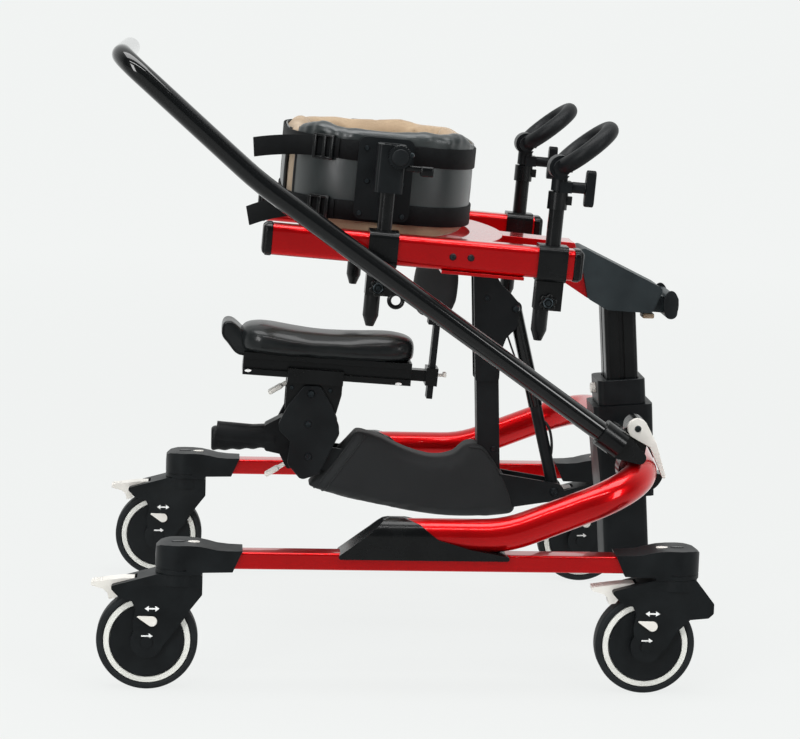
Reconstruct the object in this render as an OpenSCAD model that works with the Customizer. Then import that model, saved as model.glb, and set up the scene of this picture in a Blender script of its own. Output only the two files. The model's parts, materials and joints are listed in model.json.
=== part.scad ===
// Gait trainer: a wheeled walking frame with a height-adjustable upper frame, two handholds,
// a chest ring, a sprung saddle and a guide bar for the carer.
// +X is the walking direction, +Y the user's left and +Z up. The origin is on the floor
// under the middle of the frame. Lengths are in millimetres and angles in degrees.

/* [Base] */
// Distance between the middles of the two base rails
track = 600; // [540:5:680]
// Distance between the rear and the front caster swivels
wheelbase = 620; // [580:5:700]
// Width of a base rail
rail_w = 30; // [26:1:34]
// Height of a base rail
rail_h = 21.5; // [18:0.5:26]
// Wall of the base rails
rail_wall = 2; // [1.5:0.5:3]

/* [Casters] */
// Wheel diameter over the tyre
wheel_d = 125; // [115:1:135]
// Width of the tyre
tyre_w = 24; // [20:0.5:26]
// Diameter where the tyre sits on the rim
rim_d = 107; // [103:0.5:110]
// Diameter of the thread guard disc beside the wheel
guard_d = 91; // [80:0.5:93]
// Distance of the wheel axle behind the swivel axis
trail = 37; // [32:1:42]
// Diameter of the swivel pot
pot_d = 56; // [52:1:60]
// Width of the fork over its cheeks
fork_w = 44; // [40:0.5:48]
// Reach of the front fork's toe ahead of the swivel axis
toe_reach = 46; // [40:1:50]
// Reach of the brake pedal behind the swivel axis
pedal_reach = 106; // [98:1:114]

/* [Hoop and column] */
// Diameter of the bent hoop tubes
hoop_d = 42; // [36:1:44]
// Climb of a hoop from the base rail to the column
hoop_rise = 78; // [60:1:95]
// Bend radius of the hoop at its front corner
hoop_bend = 85; // [70:1:100]
// Lean of the column to the rear
mast_lean = 4.5; // [0:0.5:8]
// Size of the mast along the walking direction
mast_w = 43; // [38:1:48]
// Size of the mast across the frame
mast_d = 56; // [48:1:60]
// Length of the mast
mast_len = 320; // [305:5:335]

/* [Upper frame] */
// Height of the middle of the upper rails above the floor
frame_height = 540; // [520:5:600]
// Tilt of the upper frame, nose down
frame_tilt = 3.9; // [0:0.1:6]
// Distance between the middles of the upper rails
bar_span = 429; // [400:1:450]
// Length of the upper rails
bar_len = 396; // [390:1:440]
// Width of an upper rail
bar_w = 35; // [30:0.5:38]
// Height of an upper rail
bar_h = 39; // [35:0.5:44]

/* [Guide bar] */
// Diameter of the guide bar tube
guide_d = 25.4; // [22:0.2:28]
// Slope of the guide bar's long lower run
guide_slope = 35; // [33:0.5:37]
// Length of the long lower run
guide_low_run = 555; // [500:5:580]
// Extra slope of the upper run
guide_kick = 6.5; // [0:0.5:10]
// Length of the upper run
guide_high_run = 224; // [200:2:250]
// Length of the cross handle
guide_handle = 300; // [250:5:380]

/* [Handholds] */
// Place of the handholds along the upper rails, from their middle
grip_at = 162; // [156:1:164]
// Middle-line diameter of the handhold loop
loop_d = 77; // [65:1:90]
// Thickness of the loop's grip
loop_t = 21; // [18:0.5:24]
// Upward slope of the loop
loop_tilt = 42; // [20:1:50]
// Diameter of the accessory posts
post_d = 20; // [18:0.5:24]

// How much further forward the left handhold is set
left_lead = 6; // [0:1:8]

/* [Chest ring] */
// Place of the chest ring's posts along the upper rails
chest_at = -51; // [-60:1:-45]
// Outer length of the ring along the walking direction
chest_len = 238; // [220:2:250]
// Outer width of the ring across the frame
chest_wid = 348; // [320:2:352]
// Height of the ring
chest_h = 118; // [110:2:126]
// Thickness of the padded wall
chest_wall = 24; // [18:1:28]
// Width of the webbing straps
strap_w = 25; // [20:1:30]

/* [Saddle] */
// Length of the cushion
seat_len = 228; // [210:2:236]
// Width of the cushion at its rear
seat_w = 116; // [96:2:130]
// Thickness of the cushion at its rear
seat_t = 36; // [30:1:40]
// Nose-down tilt of the saddle
seat_tilt = 3.2; // [0:0.2:6]
// Width over the tilt plates
kite_w = 62; // [60:1:70]
// Diameter of the gas spring's outer tube
gas_d = 19; // [17:0.5:21]

/* [Hidden] */
$fn = 64;
round_fn = 32;
cut = 1;
snug = 0.2;
gap = 0.3;
run = 0.05;
bend_lap = 0.5;
bend_swell = 0.25;

wheel_r = wheel_d / 2;
tyre_gap = 3.25;
fork_bridge = 19.5;
swivel_gap = 0.5;
fork_top = wheel_d + tyre_gap + fork_bridge;
pot_z = fork_top + swivel_gap;
housing_floor = 5.5;
housing_roof = 2.5;
pot_rise = 7.5;
rail_z = pot_z + housing_floor + rail_h / 2;
rail_top = rail_z + rail_h / 2;
arm_top = rail_top + housing_roof;
pot_top = arm_top + pot_rise;
total_len = wheelbase + toe_reach + pedal_reach;
rear_x = pedal_reach - total_len / 2;
front_x = rear_x + wheelbase;
side_y = track / 2;

// Caster housing
arm_len = 79;
arm_wall = 5;
arm_w = rail_w + 2 * arm_wall;
arm_slant = 12;
pocket_depth = 32;
stem_r = 9;
stem_len = 24;
lid_step_z = 6;
lid_groove = 0.8;
housing_top_shares = [[1, 0], [0.78, 0.04], [0.6, 0.22], [0.45, 0.6], [0.3, 0.9], [0.15, 1],
                      [-0.15, 1], [-0.27, 0.85], [-0.345, 0.4]];

// Fork, as shares of the trail and of the fork's height
fork_rear_shares = [[-0.74, 1], [-2.19, 0.9], [-2.19, 0.872], [-1.92, 0.8], [-1.5, 0.77], [-1.38, 0.7],
                    [-1.47, 0.59], [-1.4, 0.45]];
fork_heel_shares = [[0.73, 1], [0.73, 0.83], [0.4, 0.71], [0.05, 0.56], [-0.45, 0.4]];
fork_toe_shares = [[0.55, 1], [1, 0.8], [1, 0.715], [0.86, 0.675], [0.4, 0.66], [0, 0.55], [-0.36, 0.4]];
fork_round = 3;
tyre_side_gap = 1.2;
slot_w = tyre_w + 2 * tyre_side_gap;
guard_t = 1.9;
neck_inset = 1.5;
neck_r = pot_d / 2 - neck_inset;
neck_h = 14;
axle_r = 4;
axle_head_r = 7;
axle_head_t = 2;
boss_r = 20;
guard_room = 1;
guard_gap = 0.6;
rim_side = tyre_w / 2 - snug;
rim_lip_r = guard_d / 2 + guard_room;
rim_recess = rim_side - guard_t - guard_gap;
hub_r = 11;
web_half = 4;
tyre_round = 4;

// Brake pedal, as shares of its reach behind the swivel and of the fork's height
pedal_w = 21;
pedal_pin_r = 2.5;
pedal_pin_shares = [-0.575, 0.875];
pedal_pin = [pedal_pin_shares[0] * pedal_reach, pedal_pin_shares[1] * fork_top];
pedal_outline_shares = [[-0.5, 0.95], [-0.62, 0.95], [-0.8, 0.935], [-1, 0.915], [-1, 0.885], [-0.86, 0.855],
                        [-0.81, 0.82], [-0.795, 0.768], [-0.72, 0.778], [-0.66, 0.835], [-0.5, 0.84]];
pedal_slot_share = -0.47;
pedal_slot_front = pedal_slot_share * pedal_reach;

// Direction selector on the fork's cheek
selector_shares = [-0.83, 0.605];
selector_at = [selector_shares[0] * trail, selector_shares[1] * fork_top];
selector_r = 6.3;
selector_len = 17.9;
selector_slope = 18.2;
selector_tip = selector_len * [-cos(selector_slope), sin(selector_slope)];
selector_tip_r = 1;
selector_t = 3;
selector_pin_r = 2.5;
selector_pin_len = 6;

// Hoop tubes
hoop_r = hoop_d / 2;
hoop_z = rail_top + hoop_r + gap;
hoop_start_reach = 266;
hoop_kick_reach = 404;
hoop_front_set = 42;
hoop_start_x = rear_x + hoop_start_reach;
hoop_kick_x = rear_x + hoop_kick_reach;
hoop_front_x = front_x - hoop_front_set;
hoop_kick_bend = 160;
mast_setback = 6;
mast_x = front_x - mast_setback;
mast_y = mast_d / 2;
sleeve_wall_y = 12;
sleeve_y = mast_y + sleeve_wall_y;
hoop_end_z = hoop_z + hoop_rise;
hoop_last_climb = 10;
hoop_corner_z = hoop_end_z - hoop_last_climb;
hoop_end_x = mast_x - hoop_end_z * tan(mast_lean);
hoop_insert = 6;
hoop_path = [[hoop_start_x, -side_y, hoop_z], [hoop_kick_x, -side_y, hoop_z],
             [hoop_front_x, -side_y, hoop_corner_z], [hoop_end_x, hoop_insert - sleeve_y, hoop_end_z]];
hoop_bends = [0, hoop_kick_bend, hoop_bend, 0];

// Fairing over the hoop's rear end
fairing_skin = 2.2;
fairing_lap = 6;
fairing_rear = 72;
fairing_past_kick = 18;
fairing_front = hoop_kick_reach - hoop_start_reach + fairing_past_kick;
fairing_shares = [[-1, 0], [-0.95, 0.1], [-0.42, 0.66], [-0.2, 0.94], [-0.08, 1], [0.06, 1],
                  [0.2, 0.86], [0.34, 0.52], [0.6, 0.28], [1, 0.06], [1, 0]];
fairing_round = 3;

// Column: sleeve, collar and mast, measured along the leaning mast from the floor
sleeve_below = 80;
sleeve_above_share = 0.1695;
sleeve_above = sleeve_above_share * (frame_height - hoop_end_z);
sleeve_s0 = (hoop_end_z - sleeve_below) / cos(mast_lean);
sleeve_s1 = (hoop_end_z + sleeve_above) / cos(mast_lean);
sleeve_rear_shares = [-0.84, -0.98];
sleeve_front_shares = [0.8, 0.88];
sleeve_round = 9;
socket_wall = 5;
socket_len = 34;
collar_h = 34;
collar_rear = 13;
collar_front = 8;
collar_side = 9;
mast_top_drop = 58.34;
mast_s1 = (frame_height - mast_top_drop) / cos(mast_lean);
mast_s0 = mast_s1 - mast_len;
mast_round = 6;
groove_w = 7;
groove_depth = 3;
slide_gap = 0.3;
button_r = 7;
button_len = 13;
button_out = 6;
button_travel = 3;
button_drop = 14;
button_s = sleeve_s1 + collar_h - button_drop;

// Upper frame
frame_reach = 273.5;
frame_x = mast_x - frame_height * tan(mast_lean) - frame_reach;
bar_y = bar_span / 2;
bar_round = 9;
bar_wall = 2.5;
cap_len = 9;
cap_lip = 1.2;
cap_plug = 14;
beam_at = 46;
beam_w = 44;
beam_sweep = 52;
beam_top = 13;
beam_bottom = -17;
beam_steps = 12;
lip_t = 4;
lip_front = 128;
neck_half = 30;
neck_top = 12;
neck_rear = 92;
neck_depth = 38;
throat_back = 40;
throat_up = 22;
leg_top_drop = 34;
joint_top = [216, 10];
joint_mid = [227, -15];
joint_low = [241, -62];
nose_belly = [268, -75];
nose_chin = [329, -74];
nose_tip = [341, -40];
nose_half = 36;
nose_round = 7;
bumper_neck_h = 22;
bumper_neck_half = 26;
bumper_at = [352, -62];
bumper_w = 17;
bumper_h = 33;
bumper_half = 46;
bumper_round = 8;

// Rail clamps and posts of the accessories
clamp_len = 37;
clamp_wall = 3.4;
jaw_h = 36;
jaw_len = 34;
jaw_w = 26;
bullet_len = 40;
bullet_r = 10;
bullet_tip_r = 5;
bullet_set = 7;
jaw_bolt_r = 6;
jaw_bolt_t = 4;
jaw_socket_r = 3;
jaw_bolt_drop = 26;
jaw_bolt_w = -bar_h / 2 - clamp_wall - jaw_bolt_drop;
post_r = post_d / 2;
post_flat_share = 0.92;
clamp_top = bar_h / 2 + clamp_wall;

// Handholds
grip_post_len = 46;
grip_collar_h = 22;
grip_collar_wall = 2.5;
post_wall = 3;
stem_core_r = post_r - post_wall;
stem_core_len = 60;
elbow_rise = 30;
elbow_w = clamp_top + grip_post_len + grip_collar_h + elbow_rise;
elbow_at = -1;
elbow_wall = 4.5;
elbow_r = loop_t / 2 + elbow_wall;
elbow_half = 13;
elbow_split = 5;
loop_r = loop_d / 2;
trunnion_r = loop_t / 2;
wing_drop = 24;
wing_w = elbow_w - wing_drop;
wing_from = 8;
wing_boss_r = 7;
wing_stem_len = 18;
wing_screw_r = 3;
wing_bar_h = 46;
wing_bar_t = 12;
wing_bar_w = 15;

// Chest ring
ring_lift = 3;
ring_low = beam_top + ring_lift;
ring_y = chest_wid / 2;
ring_x = chest_len / 2;
ring_set = 4;
ring_at = chest_at - ring_set;
ring_power_share = 0.62;
ring_steps = 40;
shell_t = 3.5;
lining_shares = [[0.12, 0.02], [0.5, -0.015], [0.88, 0.02], [0.98, 0.2], [0.94, 0.5], [0.99, 0.8],
                 [0.9, 0.97], [0.55, 1.02], [0.2, 0.98], [0.03, 0.8], [0.08, 0.5], [0.02, 0.2]];
shell_low_share = 0.05;
shell_high_share = 0.96;
shell_front_turn = 130;
shell_rear_turn = 139;
shell_rear_steps = 12;
shell_front_turns = even_turns(shell_front_turn, -shell_front_turn, ring_steps);
shell_rear_turns = even_turns(360 - shell_rear_turn, shell_rear_turn, shell_rear_steps);
shell_turns = concat(shell_front_turns, shell_rear_turns);
strap_t = 2.6;
strap_high_share = 0.89;
strap_low_share = 0.2;
tail_turn = 120;
tail_len = 118;
tail_droop = 5;
buckle_len = 30;
buckle_h = 27;
buckle_t = 6;
plate_t = 5;
plate_len = 70;
plate_h = 104;
plate_round = 10;
plate_rise = 15;
plate_w0 = ring_low + plate_rise;
mech_h = 60;
mech_rise = 47;
mech_w0 = clamp_top + mech_rise;
mech_len = 28;
mech_round = 5;
chest_post_len = 88;
dial_r = 14;
dial_t = 10;
dial_teeth = 24;
dial_tooth = 0.9;
dial_rise = 46;
dial_w = mech_w0 + dial_rise;
dial_u = 10;

// Saddle arm, as places under the upper frame
post_lean = 2.6;
pivot_fore = 114.5;
pivot_drop = 344;
arm_reach = 244.4;
arm_climb = 45.8;
kite_fore = 2;
kite_size = 85;
gas_fore = 89.3;
arm_pivot = [frame_x + pivot_fore, frame_height - pivot_drop];
kite_low = [arm_pivot[0] - arm_reach, arm_pivot[1] + arm_climb];
kite_top = [kite_low[0] + kite_fore, kite_low[1] + kite_size];
gas_foot = [arm_pivot[0] + gas_fore, arm_pivot[1]];
gas_head_fore = 39;
gas_head_rise = 247;
gas_head_local = [gas_head_fore, gas_head_rise];
gas_head = arm_pivot + [gas_head_local[0] * cos(post_lean) - gas_head_local[1] * sin(post_lean),
                        gas_head_local[0] * sin(post_lean) + gas_head_local[1] * cos(post_lean)];
gas_line = gas_foot - gas_head;
gas_len = norm(gas_line);
gas_angle = atan2(gas_line[0], -gas_line[1]);
gas_eye_r = 9;
gas_eye_w = 20;
gas_tube_len = 138;
gas_wall = 1.4;
gas_rod_r = gas_d / 2 - gas_wall;
gas_rod_in = 80;
gas_pin_r = 4;
gas_slack = 1.3;
leg_w = 30;
leg_d = 30;
leg_below = 17;
bracket_t = 4.5;
bracket_low = 150;
bracket_round = 4;
bracket_shares = [[-0.56, 1], [0.5, 1], [0.5, 0.87], [0.7, 0.8], [1.15, 0.72], [1.4, 0.66], [1.46, 0.57],
                  [1.3, 0.44], [0.85, 0.36], [0.6, 0.24], [0.5, 0], [-0.56, 0]];
leg_room = 1;
plate_in = leg_d / 2 + leg_room;
arm_plate_t = 4.5;
arm_pin_r = 6;
kite_pin_r = 5;
arm_root_r = 26;
arm_rear_r = 15;
arm_front_r = 12;
sleeve_cloth = 3.2;
sleeve_half = plate_in + arm_plate_t + sleeve_cloth;
sleeve_skin = 3;
sleeve_soft = 3;
sleeve_top_shares = [[-0.76, 0.8], [-0.62, 0.745], [-0.46, 0.59], [-0.32, 0.505], [-0.2, 0.54], [-0.12, 0.66],
                     [-0.04, 0.64], [0.03, 0.45], [0.11, 0.08], [0.155, -0.27]];
sleeve_low_shares = [[0.13, -0.35], [-0.03, -0.39], [-0.3, -0.385], [-0.62, -0.26], [-0.88, -0.1],
                     [-1.01, 0.01]];
arm_height = 100;
slot_room = 14;

// Tilt plates, grip and saddle carriage
kite_t = 5;
kite_half = kite_w / 2;
kite_shares = [[0.16, 1.13], [-0.1, 1.13], [-0.34, 0.82], [-0.49, 0.52], [-0.47, 0.4], [-0.3, 0.24],
               [-0.34, -0.12], [-0.12, -0.38], [0.16, -0.28], [0.3, 0.02], [0.47, 0.36], [0.46, 0.5],
               [0.34, 0.82]];
kite_round = 9;
grip_r = 15.5;
grip_len = 78;
grip_start = 46;
grip_drop = 4.5;
grip_rise_share = 0.23;
grip_pin_share = 0.2;
finger_r = 12;
finger_bite = 2;
finger_pitch = 17;
finger_count = 4;
finger_first_share = 0.6;
root_shares = [[-0.7, 0.45], [-0.42, 0.6], [-0.12, 0.5], [-0.12, -0.2], [-0.34, -0.24], [-0.46, 0],
               [-0.7, 0.05]];
root_half = 14;
carriage_half = 33;
carriage_waist = 27;
carriage_low = 20;
carriage_h = 30;
carriage_rear = 94;
carriage_front = 130;
slab_t = 8;
block_len = 74;
block_half = 37;
block_low = 6;
block_high = 33;
block_rear = 34;
hinge_drop = 28;
hinge_low = -hinge_drop;
hinge_t = 6;
hinge_room = 0.5;
hinge_half = kite_half - kite_t - hinge_room;
seat_rear = 102;
seat_z = carriage_low + carriage_h + gap;
seat_nose_share = 0.74;
seat_end_share = 0.03;
seat_fall_share = 0.1;
seat_dip_share = 0.3;
seat_rings = 14;
seat_sides = 28;
tail_shares = [[-1, 0.6], [-0.97, 0.88], [-0.84, 0.98], [-0.66, 1], [-0.32, 0.78], [0.02, 0.42], [0.4, 0.2],
               [0.4, -0.2], [-0.3, -0.14], [-0.52, 0], [-0.7, 0.25], [-0.93, 0.45]];
tail_at = 90;
tail_reach = 35;
tail_rise = 37;
tail_half = 27;
tail_round = 5;

// Pommel on the front of the carriage
pommel_x = 29;
pommel_lean = 4.5;
pommel_bar_w = 8;
pommel_bar_d = 24;
pommel_bar_len = 100;
pommel_bar_below = 30;
pommel_guide_w = 16;
pommel_guide_h = 24;
pommel_foot_h = 15;
pommel_foot_half = 18;
pommel_block_h = 30;
pommel_block_w = 24;
pommel_pad_w = 62;
pommel_pad_h = 96;
pommel_pad_t = 46;
pommel_pad_rise = 4;
pommel_pad_set = -7;
pad_end_share = 0.0004;
pad_rings = 12;
pad_sides = 24;

// Guide bar and its claw on the right hoop
guide_r = guide_d / 2;
guide_clear = 36;
claw_past = 2;
guide_y = -bar_y - bar_w / 2 - guide_clear;
claw_y = -side_y + hoop_bend + claw_past;
claw_half = 15;
claw_wall = 8;
claw_share = (claw_y + side_y) / (hoop_path[3][1] + side_y);
claw_x = hoop_path[2][0] + (hoop_path[3][0] - hoop_path[2][0]) * claw_share;
claw_z = hoop_path[2][2] + (hoop_path[3][2] - hoop_path[2][2]) * claw_share;
guide_foot_back = 38;
guide_foot_up = 41.5;
guide_foot = [claw_x - guide_foot_back, guide_y, claw_z + guide_foot_up];
guide_knee = guide_foot + guide_low_run * [-cos(guide_slope), 0, sin(guide_slope)];
guide_top = guide_knee + guide_high_run * [-cos(guide_slope + guide_kick), 0, sin(guide_slope + guide_kick)];
guide_end = guide_top + [0, guide_handle, 0];
guide_path = [guide_foot, guide_knee, guide_top, guide_end];
guide_knee_bend = 420;
guide_top_bend = 34;
guide_bends = [0, guide_knee_bend, guide_top_bend, 0];
socket_grip = 26;
socket_cup = 5;
hook_open = 100;
bridge_back = 10;
bridge_up = 4;
cam_back = 7.5;
cam_up = 55;
cam_at = [claw_x - cam_back, claw_z + cam_up];
cam_r = 13;
cam_pin_r = 4;
cam_t = 16;
cam_elbow = 28;
cam_elbow_r = 5;
cam_slope = 45;
cam_tip_len = 44;
cam_tip_r = 2.5;
cam_tip_slope = 69;

black = "#23272a";
gloss_black = "#15181b";
red = "#b3162a";
pale = "#d9d6d0";
tan_cloth = "#b9a184";

// Vectors and placing
function unit(v) = v / norm(v);
function turn_at(p, i) = acos(unit(p[i] - p[i - 1]) * unit(p[i + 1] - p[i]));
function bend_cut(p, b, i) = (i == 0 || i == len(p) - 1) ? 0 : b[i] * tan(turn_at(p, i) / 2);
function basis(x, y, z, o) = [[x[0], y[0], z[0], o[0]], [x[1], y[1], z[1], o[1]],
                              [x[2], y[2], z[2], o[2]], [0, 0, 0, 1]];
function side_of(v) = unit(cross(abs(v[2]) > abs(v[0]) ? [1, 0, 0] : [0, 0, 1], v));

// Straight round rod from a to b
module rod(a, b, r) {
    z = unit(b - a);
    x = side_of(z);
    multmatrix(basis(x, cross(z, x), z, a)) cylinder(h = norm(b - a), r = r);
}

// Round rod along a path, with an arc at each inner point
module bent_rod(path, bends, r) {
    last = len(path) - 1;
    for (i = [0 : last - 1]) {
        way = unit(path[i + 1] - path[i]);
        from = bend_cut(path, bends, i) - (i > 0 ? bend_lap : 0);
        to = bend_cut(path, bends, i + 1) - (i + 1 < last ? bend_lap : 0);
        rod(path[i] + way * from, path[i + 1] - way * to, r);
    }
    for (i = [1 : last - 1]) {
        way = unit(path[i] - path[i - 1]);
        axis = unit(cross(way, path[i + 1] - path[i]));
        inward = cross(axis, way);
        start = path[i] - way * bend_cut(path, bends, i);
        multmatrix(basis(-inward, way, axis, start + inward * bends[i]))
            rotate_extrude(angle = turn_at(path, i)) translate([bends[i], 0]) circle(r + bend_swell);
    }
}

module rounded_rect(w, h, r) {
    square([w - 2 * r, h], center = true);
    square([w, h - 2 * r], center = true);
    for (x = [-1, 1], y = [-1, 1]) translate([x * (w / 2 - r), y * (h / 2 - r)]) circle(r);
}

// Outline with its outer corners rounded
module softened(r) {
    offset(r = r, $fn = round_fn) offset(delta = -r) children();
}

// Side outline in X and Z, spread evenly across the frame
module across(w) {
    rotate([90, 0, 0]) linear_extrude(w, center = true) children();
}

// Section in Y and Z, drawn out along X
module along_x(l) {
    rotate([90, 0, 90]) linear_extrude(l) children();
}

// Two circles joined by their tangents
module link(a, ra, b, rb) {
    hull() {
        translate(a) circle(ra, $fn = round_fn);
        translate(b) circle(rb, $fn = round_fn);
    }
}

// Closed skin through rings of points, each with the same number of points
module loft(rings, looped = false) {
    n = len(rings[0]);
    m = len(rings);
    points = [for (ring = rings) each ring];
    sides = [for (i = [0 : looped ? m - 1 : m - 2], j = [0 : n - 1])
             let (a = i * n + j, b = i * n + (j + 1) % n,
                  c = ((i + 1) % m) * n + j, d = ((i + 1) % m) * n + (j + 1) % n)
             each [[a, b, d], [a, d, c]]];
    ends = looped ? [] : [for (j = [1 : n - 2]) each [[0, j + 1, j],
                          [(m - 1) * n, (m - 1) * n + j, (m - 1) * n + j + 1]]];
    polyhedron(points, concat(sides, ends), convexity = 6);
}

module mirrored_y() {
    children();
    mirror([0, 1, 0]) children();
}

module at_swivel(x, y) {
    translate([x, y, 0]) children();
}

module in_mast() {
    translate([mast_x, 0, 0]) rotate([0, -mast_lean, 0]) children();
}

module in_frame() {
    translate([frame_x, 0, frame_height]) rotate([0, frame_tilt, 0]) children();
}

module in_leg() {
    translate([arm_pivot[0], 0, arm_pivot[1]]) rotate([0, -post_lean, 0]) children();
}

module in_gas() {
    translate([gas_head[0], 0, gas_head[1]]) rotate([0, -gas_angle, 0]) children();
}

module in_saddle() {
    translate([kite_top[0], 0, kite_top[1]]) rotate([0, seat_tilt, 0]) children();
}

// Base frame
module base_rails() {
    length = wheelbase - 2 * (arm_len - pocket_depth);
    color(red) mirrored_y() translate([rear_x + arm_len - pocket_depth, -side_y, rail_z]) along_x(length)
        difference() {
            rounded_rect(rail_w, rail_h, rail_wall * 1.5);
            rounded_rect(rail_w - 2 * rail_wall, rail_h - 2 * rail_wall, rail_wall / 2);
        }
}

module hoop_tubes() {
    color(red) mirrored_y() bent_rod(hoop_path, hoop_bends, hoop_r);
}

module rail_fairings() {
    low = rail_top - fairing_lap;
    high = hoop_z + hoop_r + fairing_skin - low;
    half = hoop_r + fairing_skin;
    points = [for (s = fairing_shares)
              [hoop_start_x + s[0] * (s[0] < 0 ? fairing_rear : fairing_front), low + s[1] * high]];
    color(gloss_black) mirrored_y() difference() {
        intersection() {
            translate([0, -side_y, 0]) across(2 * half) softened(fairing_round) polygon(points);
            translate([rear_x, -side_y, 0]) along_x(wheelbase) {
                translate([0, hoop_z]) circle(half);
                translate([-half, 0]) square([2 * half, hoop_z]);
            }
        }
        translate([rear_x, -side_y, rail_z]) along_x(wheelbase)
            rounded_rect(rail_w + 2 * snug, rail_h + 2 * snug, rail_wall * 1.5 + snug);
        bent_rod(hoop_path, hoop_bends, hoop_r + snug);
    }
}

// Swivel pot and socket arm for a rail end; the arm points along +X
module caster_housing() {
    arm_low = rail_z - rail_h / 2 - housing_roof;
    top = [for (s = housing_top_shares) [s[0] * arm_len, arm_top + s[1] * pot_rise]];
    pot_r = pot_d / 2;
    color(black) difference() {
        intersection() {
            translate([0, 0, pot_z]) linear_extrude(pot_top - pot_z) {
                circle(pot_r);
                polygon([[0, pot_r], [arm_len, arm_w / 2], [arm_len, -arm_w / 2], [0, -pot_r]]);
            }
            across(2 * pot_d) polygon(concat(
                [[-pot_r, arm_top - pot_rise], [-pot_r, pot_z], [pot_r, pot_z],
                 [pot_r + housing_roof, arm_low], [arm_len - arm_slant, arm_low]], top));
        }
        translate([arm_len - pocket_depth - snug, 0, rail_z]) along_x(arm_len)
            rounded_rect(rail_w + 2 * snug, rail_h + 2 * snug, rail_wall * 1.5 + snug);
        translate([0, 0, pot_z - cut]) cylinder(h = stem_len + cut, r = stem_r + run);
        translate([0, 0, pot_z + lid_step_z]) rotate_extrude()
            translate([pot_r, 0]) square(2 * lid_groove, center = true);
    }
}

module rear_caster_housings() {
    mirrored_y() at_swivel(rear_x, -side_y) caster_housing();
}

module front_caster_housings() {
    mirrored_y() at_swivel(front_x, -side_y) rotate([0, 0, 180]) caster_housing();
}

// Casters, drawn about their swivel axis; the wheel trails along -X
function fork_outline(front) = concat(
    [for (s = fork_rear_shares) [s[0] * trail, s[1] * fork_top]],
    [[-trail, wheel_r - boss_r / 2]],
    [for (i = [len(front) - 1 : -1 : 0])
     [front[i][0] * (front[i][0] > 0.8 ? toe_reach : front[i][0] > 0 ? (trail + toe_reach) / 2 : trail),
      front[i][1] * fork_top]]);

module fork(front) {
    color(black) {
        difference() {
            union() {
                across(fork_w) softened(fork_round) union() {
                    polygon(fork_outline(front));
                    translate([-trail, wheel_r]) circle(boss_r);
                }
                translate([0, 0, fork_top - neck_h]) cylinder(h = neck_h, r = neck_r);
            }
            translate([-trail, 0, wheel_r]) rotate([90, 0, 0])
                cylinder(h = slot_w, r = wheel_r + tyre_gap, center = true);
            translate([pedal_slot_front - pedal_reach, -pedal_w / 2 - gap, wheel_r])
                cube([pedal_reach, pedal_w + 2 * gap, fork_top]);
            translate([selector_at[0], 0, selector_at[1]]) rotate([90, 0, 0])
                cylinder(h = fork_w, r = selector_pin_r + run);
        }
        translate([0, 0, fork_top - neck_h]) cylinder(h = neck_h + swivel_gap + stem_len - gap, r = stem_r);
        translate([-trail, 0, wheel_r]) rotate([90, 0, 0]) {
            cylinder(h = fork_w, r = axle_r, center = true);
            for (s = [-1, 1]) {
                translate([0, 0, s * (fork_w + axle_head_t) / 2])
                    cylinder(h = axle_head_t, r = axle_head_r, center = true);
                translate([0, 0, s * (slot_w - guard_t) / 2]) difference() {
                    cylinder(h = guard_t, r = guard_d / 2, center = true);
                    translate([selector_at[0] + trail, selector_at[1] - wheel_r, 0])
                        cylinder(h = 2 * guard_t, r = selector_pin_r + gap, center = true);
                }
            }
        }
        translate([pedal_pin[0], 0, pedal_pin[1]]) rotate([90, 0, 0])
            cylinder(h = fork_w - 2 * cut, r = pedal_pin_r, center = true);
    }
}

module wheel() {
    color(pale) translate([-trail, 0, wheel_r]) rotate([90, 0, 0]) rotate_extrude()
        polygon([[axle_r + run, -rim_recess + gap], [hub_r, -rim_recess + gap], [hub_r, -web_half],
                 [rim_lip_r, -web_half], [rim_lip_r, -rim_side], [rim_d / 2 - run, -rim_side],
                 [rim_d / 2 - run, rim_side], [rim_lip_r, rim_side], [rim_lip_r, web_half],
                 [hub_r, web_half], [hub_r, rim_recess - gap], [axle_r + run, rim_recess - gap]]);
}

module tyre() {
    depth = wheel_r - rim_d / 2;
    color("#1d1f20") translate([-trail, 0, wheel_r]) rotate([90, 0, 0]) rotate_extrude()
        translate([rim_d / 2 + depth / 2, 0]) rounded_rect(depth, tyre_w, tyre_round);
}

module brake_pedal() {
    color(pale) difference() {
        across(pedal_w) polygon([for (s = pedal_outline_shares) [s[0] * pedal_reach, s[1] * fork_top]]);
        translate([pedal_pin[0], 0, pedal_pin[1]]) rotate([90, 0, 0])
            cylinder(h = 2 * pedal_w, r = pedal_pin_r + run, center = true);
    }
}

module selector() {
    color(pale) translate([selector_at[0], -fork_w / 2 - gap, selector_at[1]]) rotate([90, 0, 0]) {
        linear_extrude(selector_t) link([0, 0], selector_r, selector_tip, selector_tip_r);
        translate([0, 0, -selector_pin_len]) cylinder(h = selector_pin_len + selector_t, r = selector_pin_r);
    }
}

// Column
module mast_section(room) {
    rounded_rect(mast_w + 2 * room, mast_d + 2 * room, mast_round);
}

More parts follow.
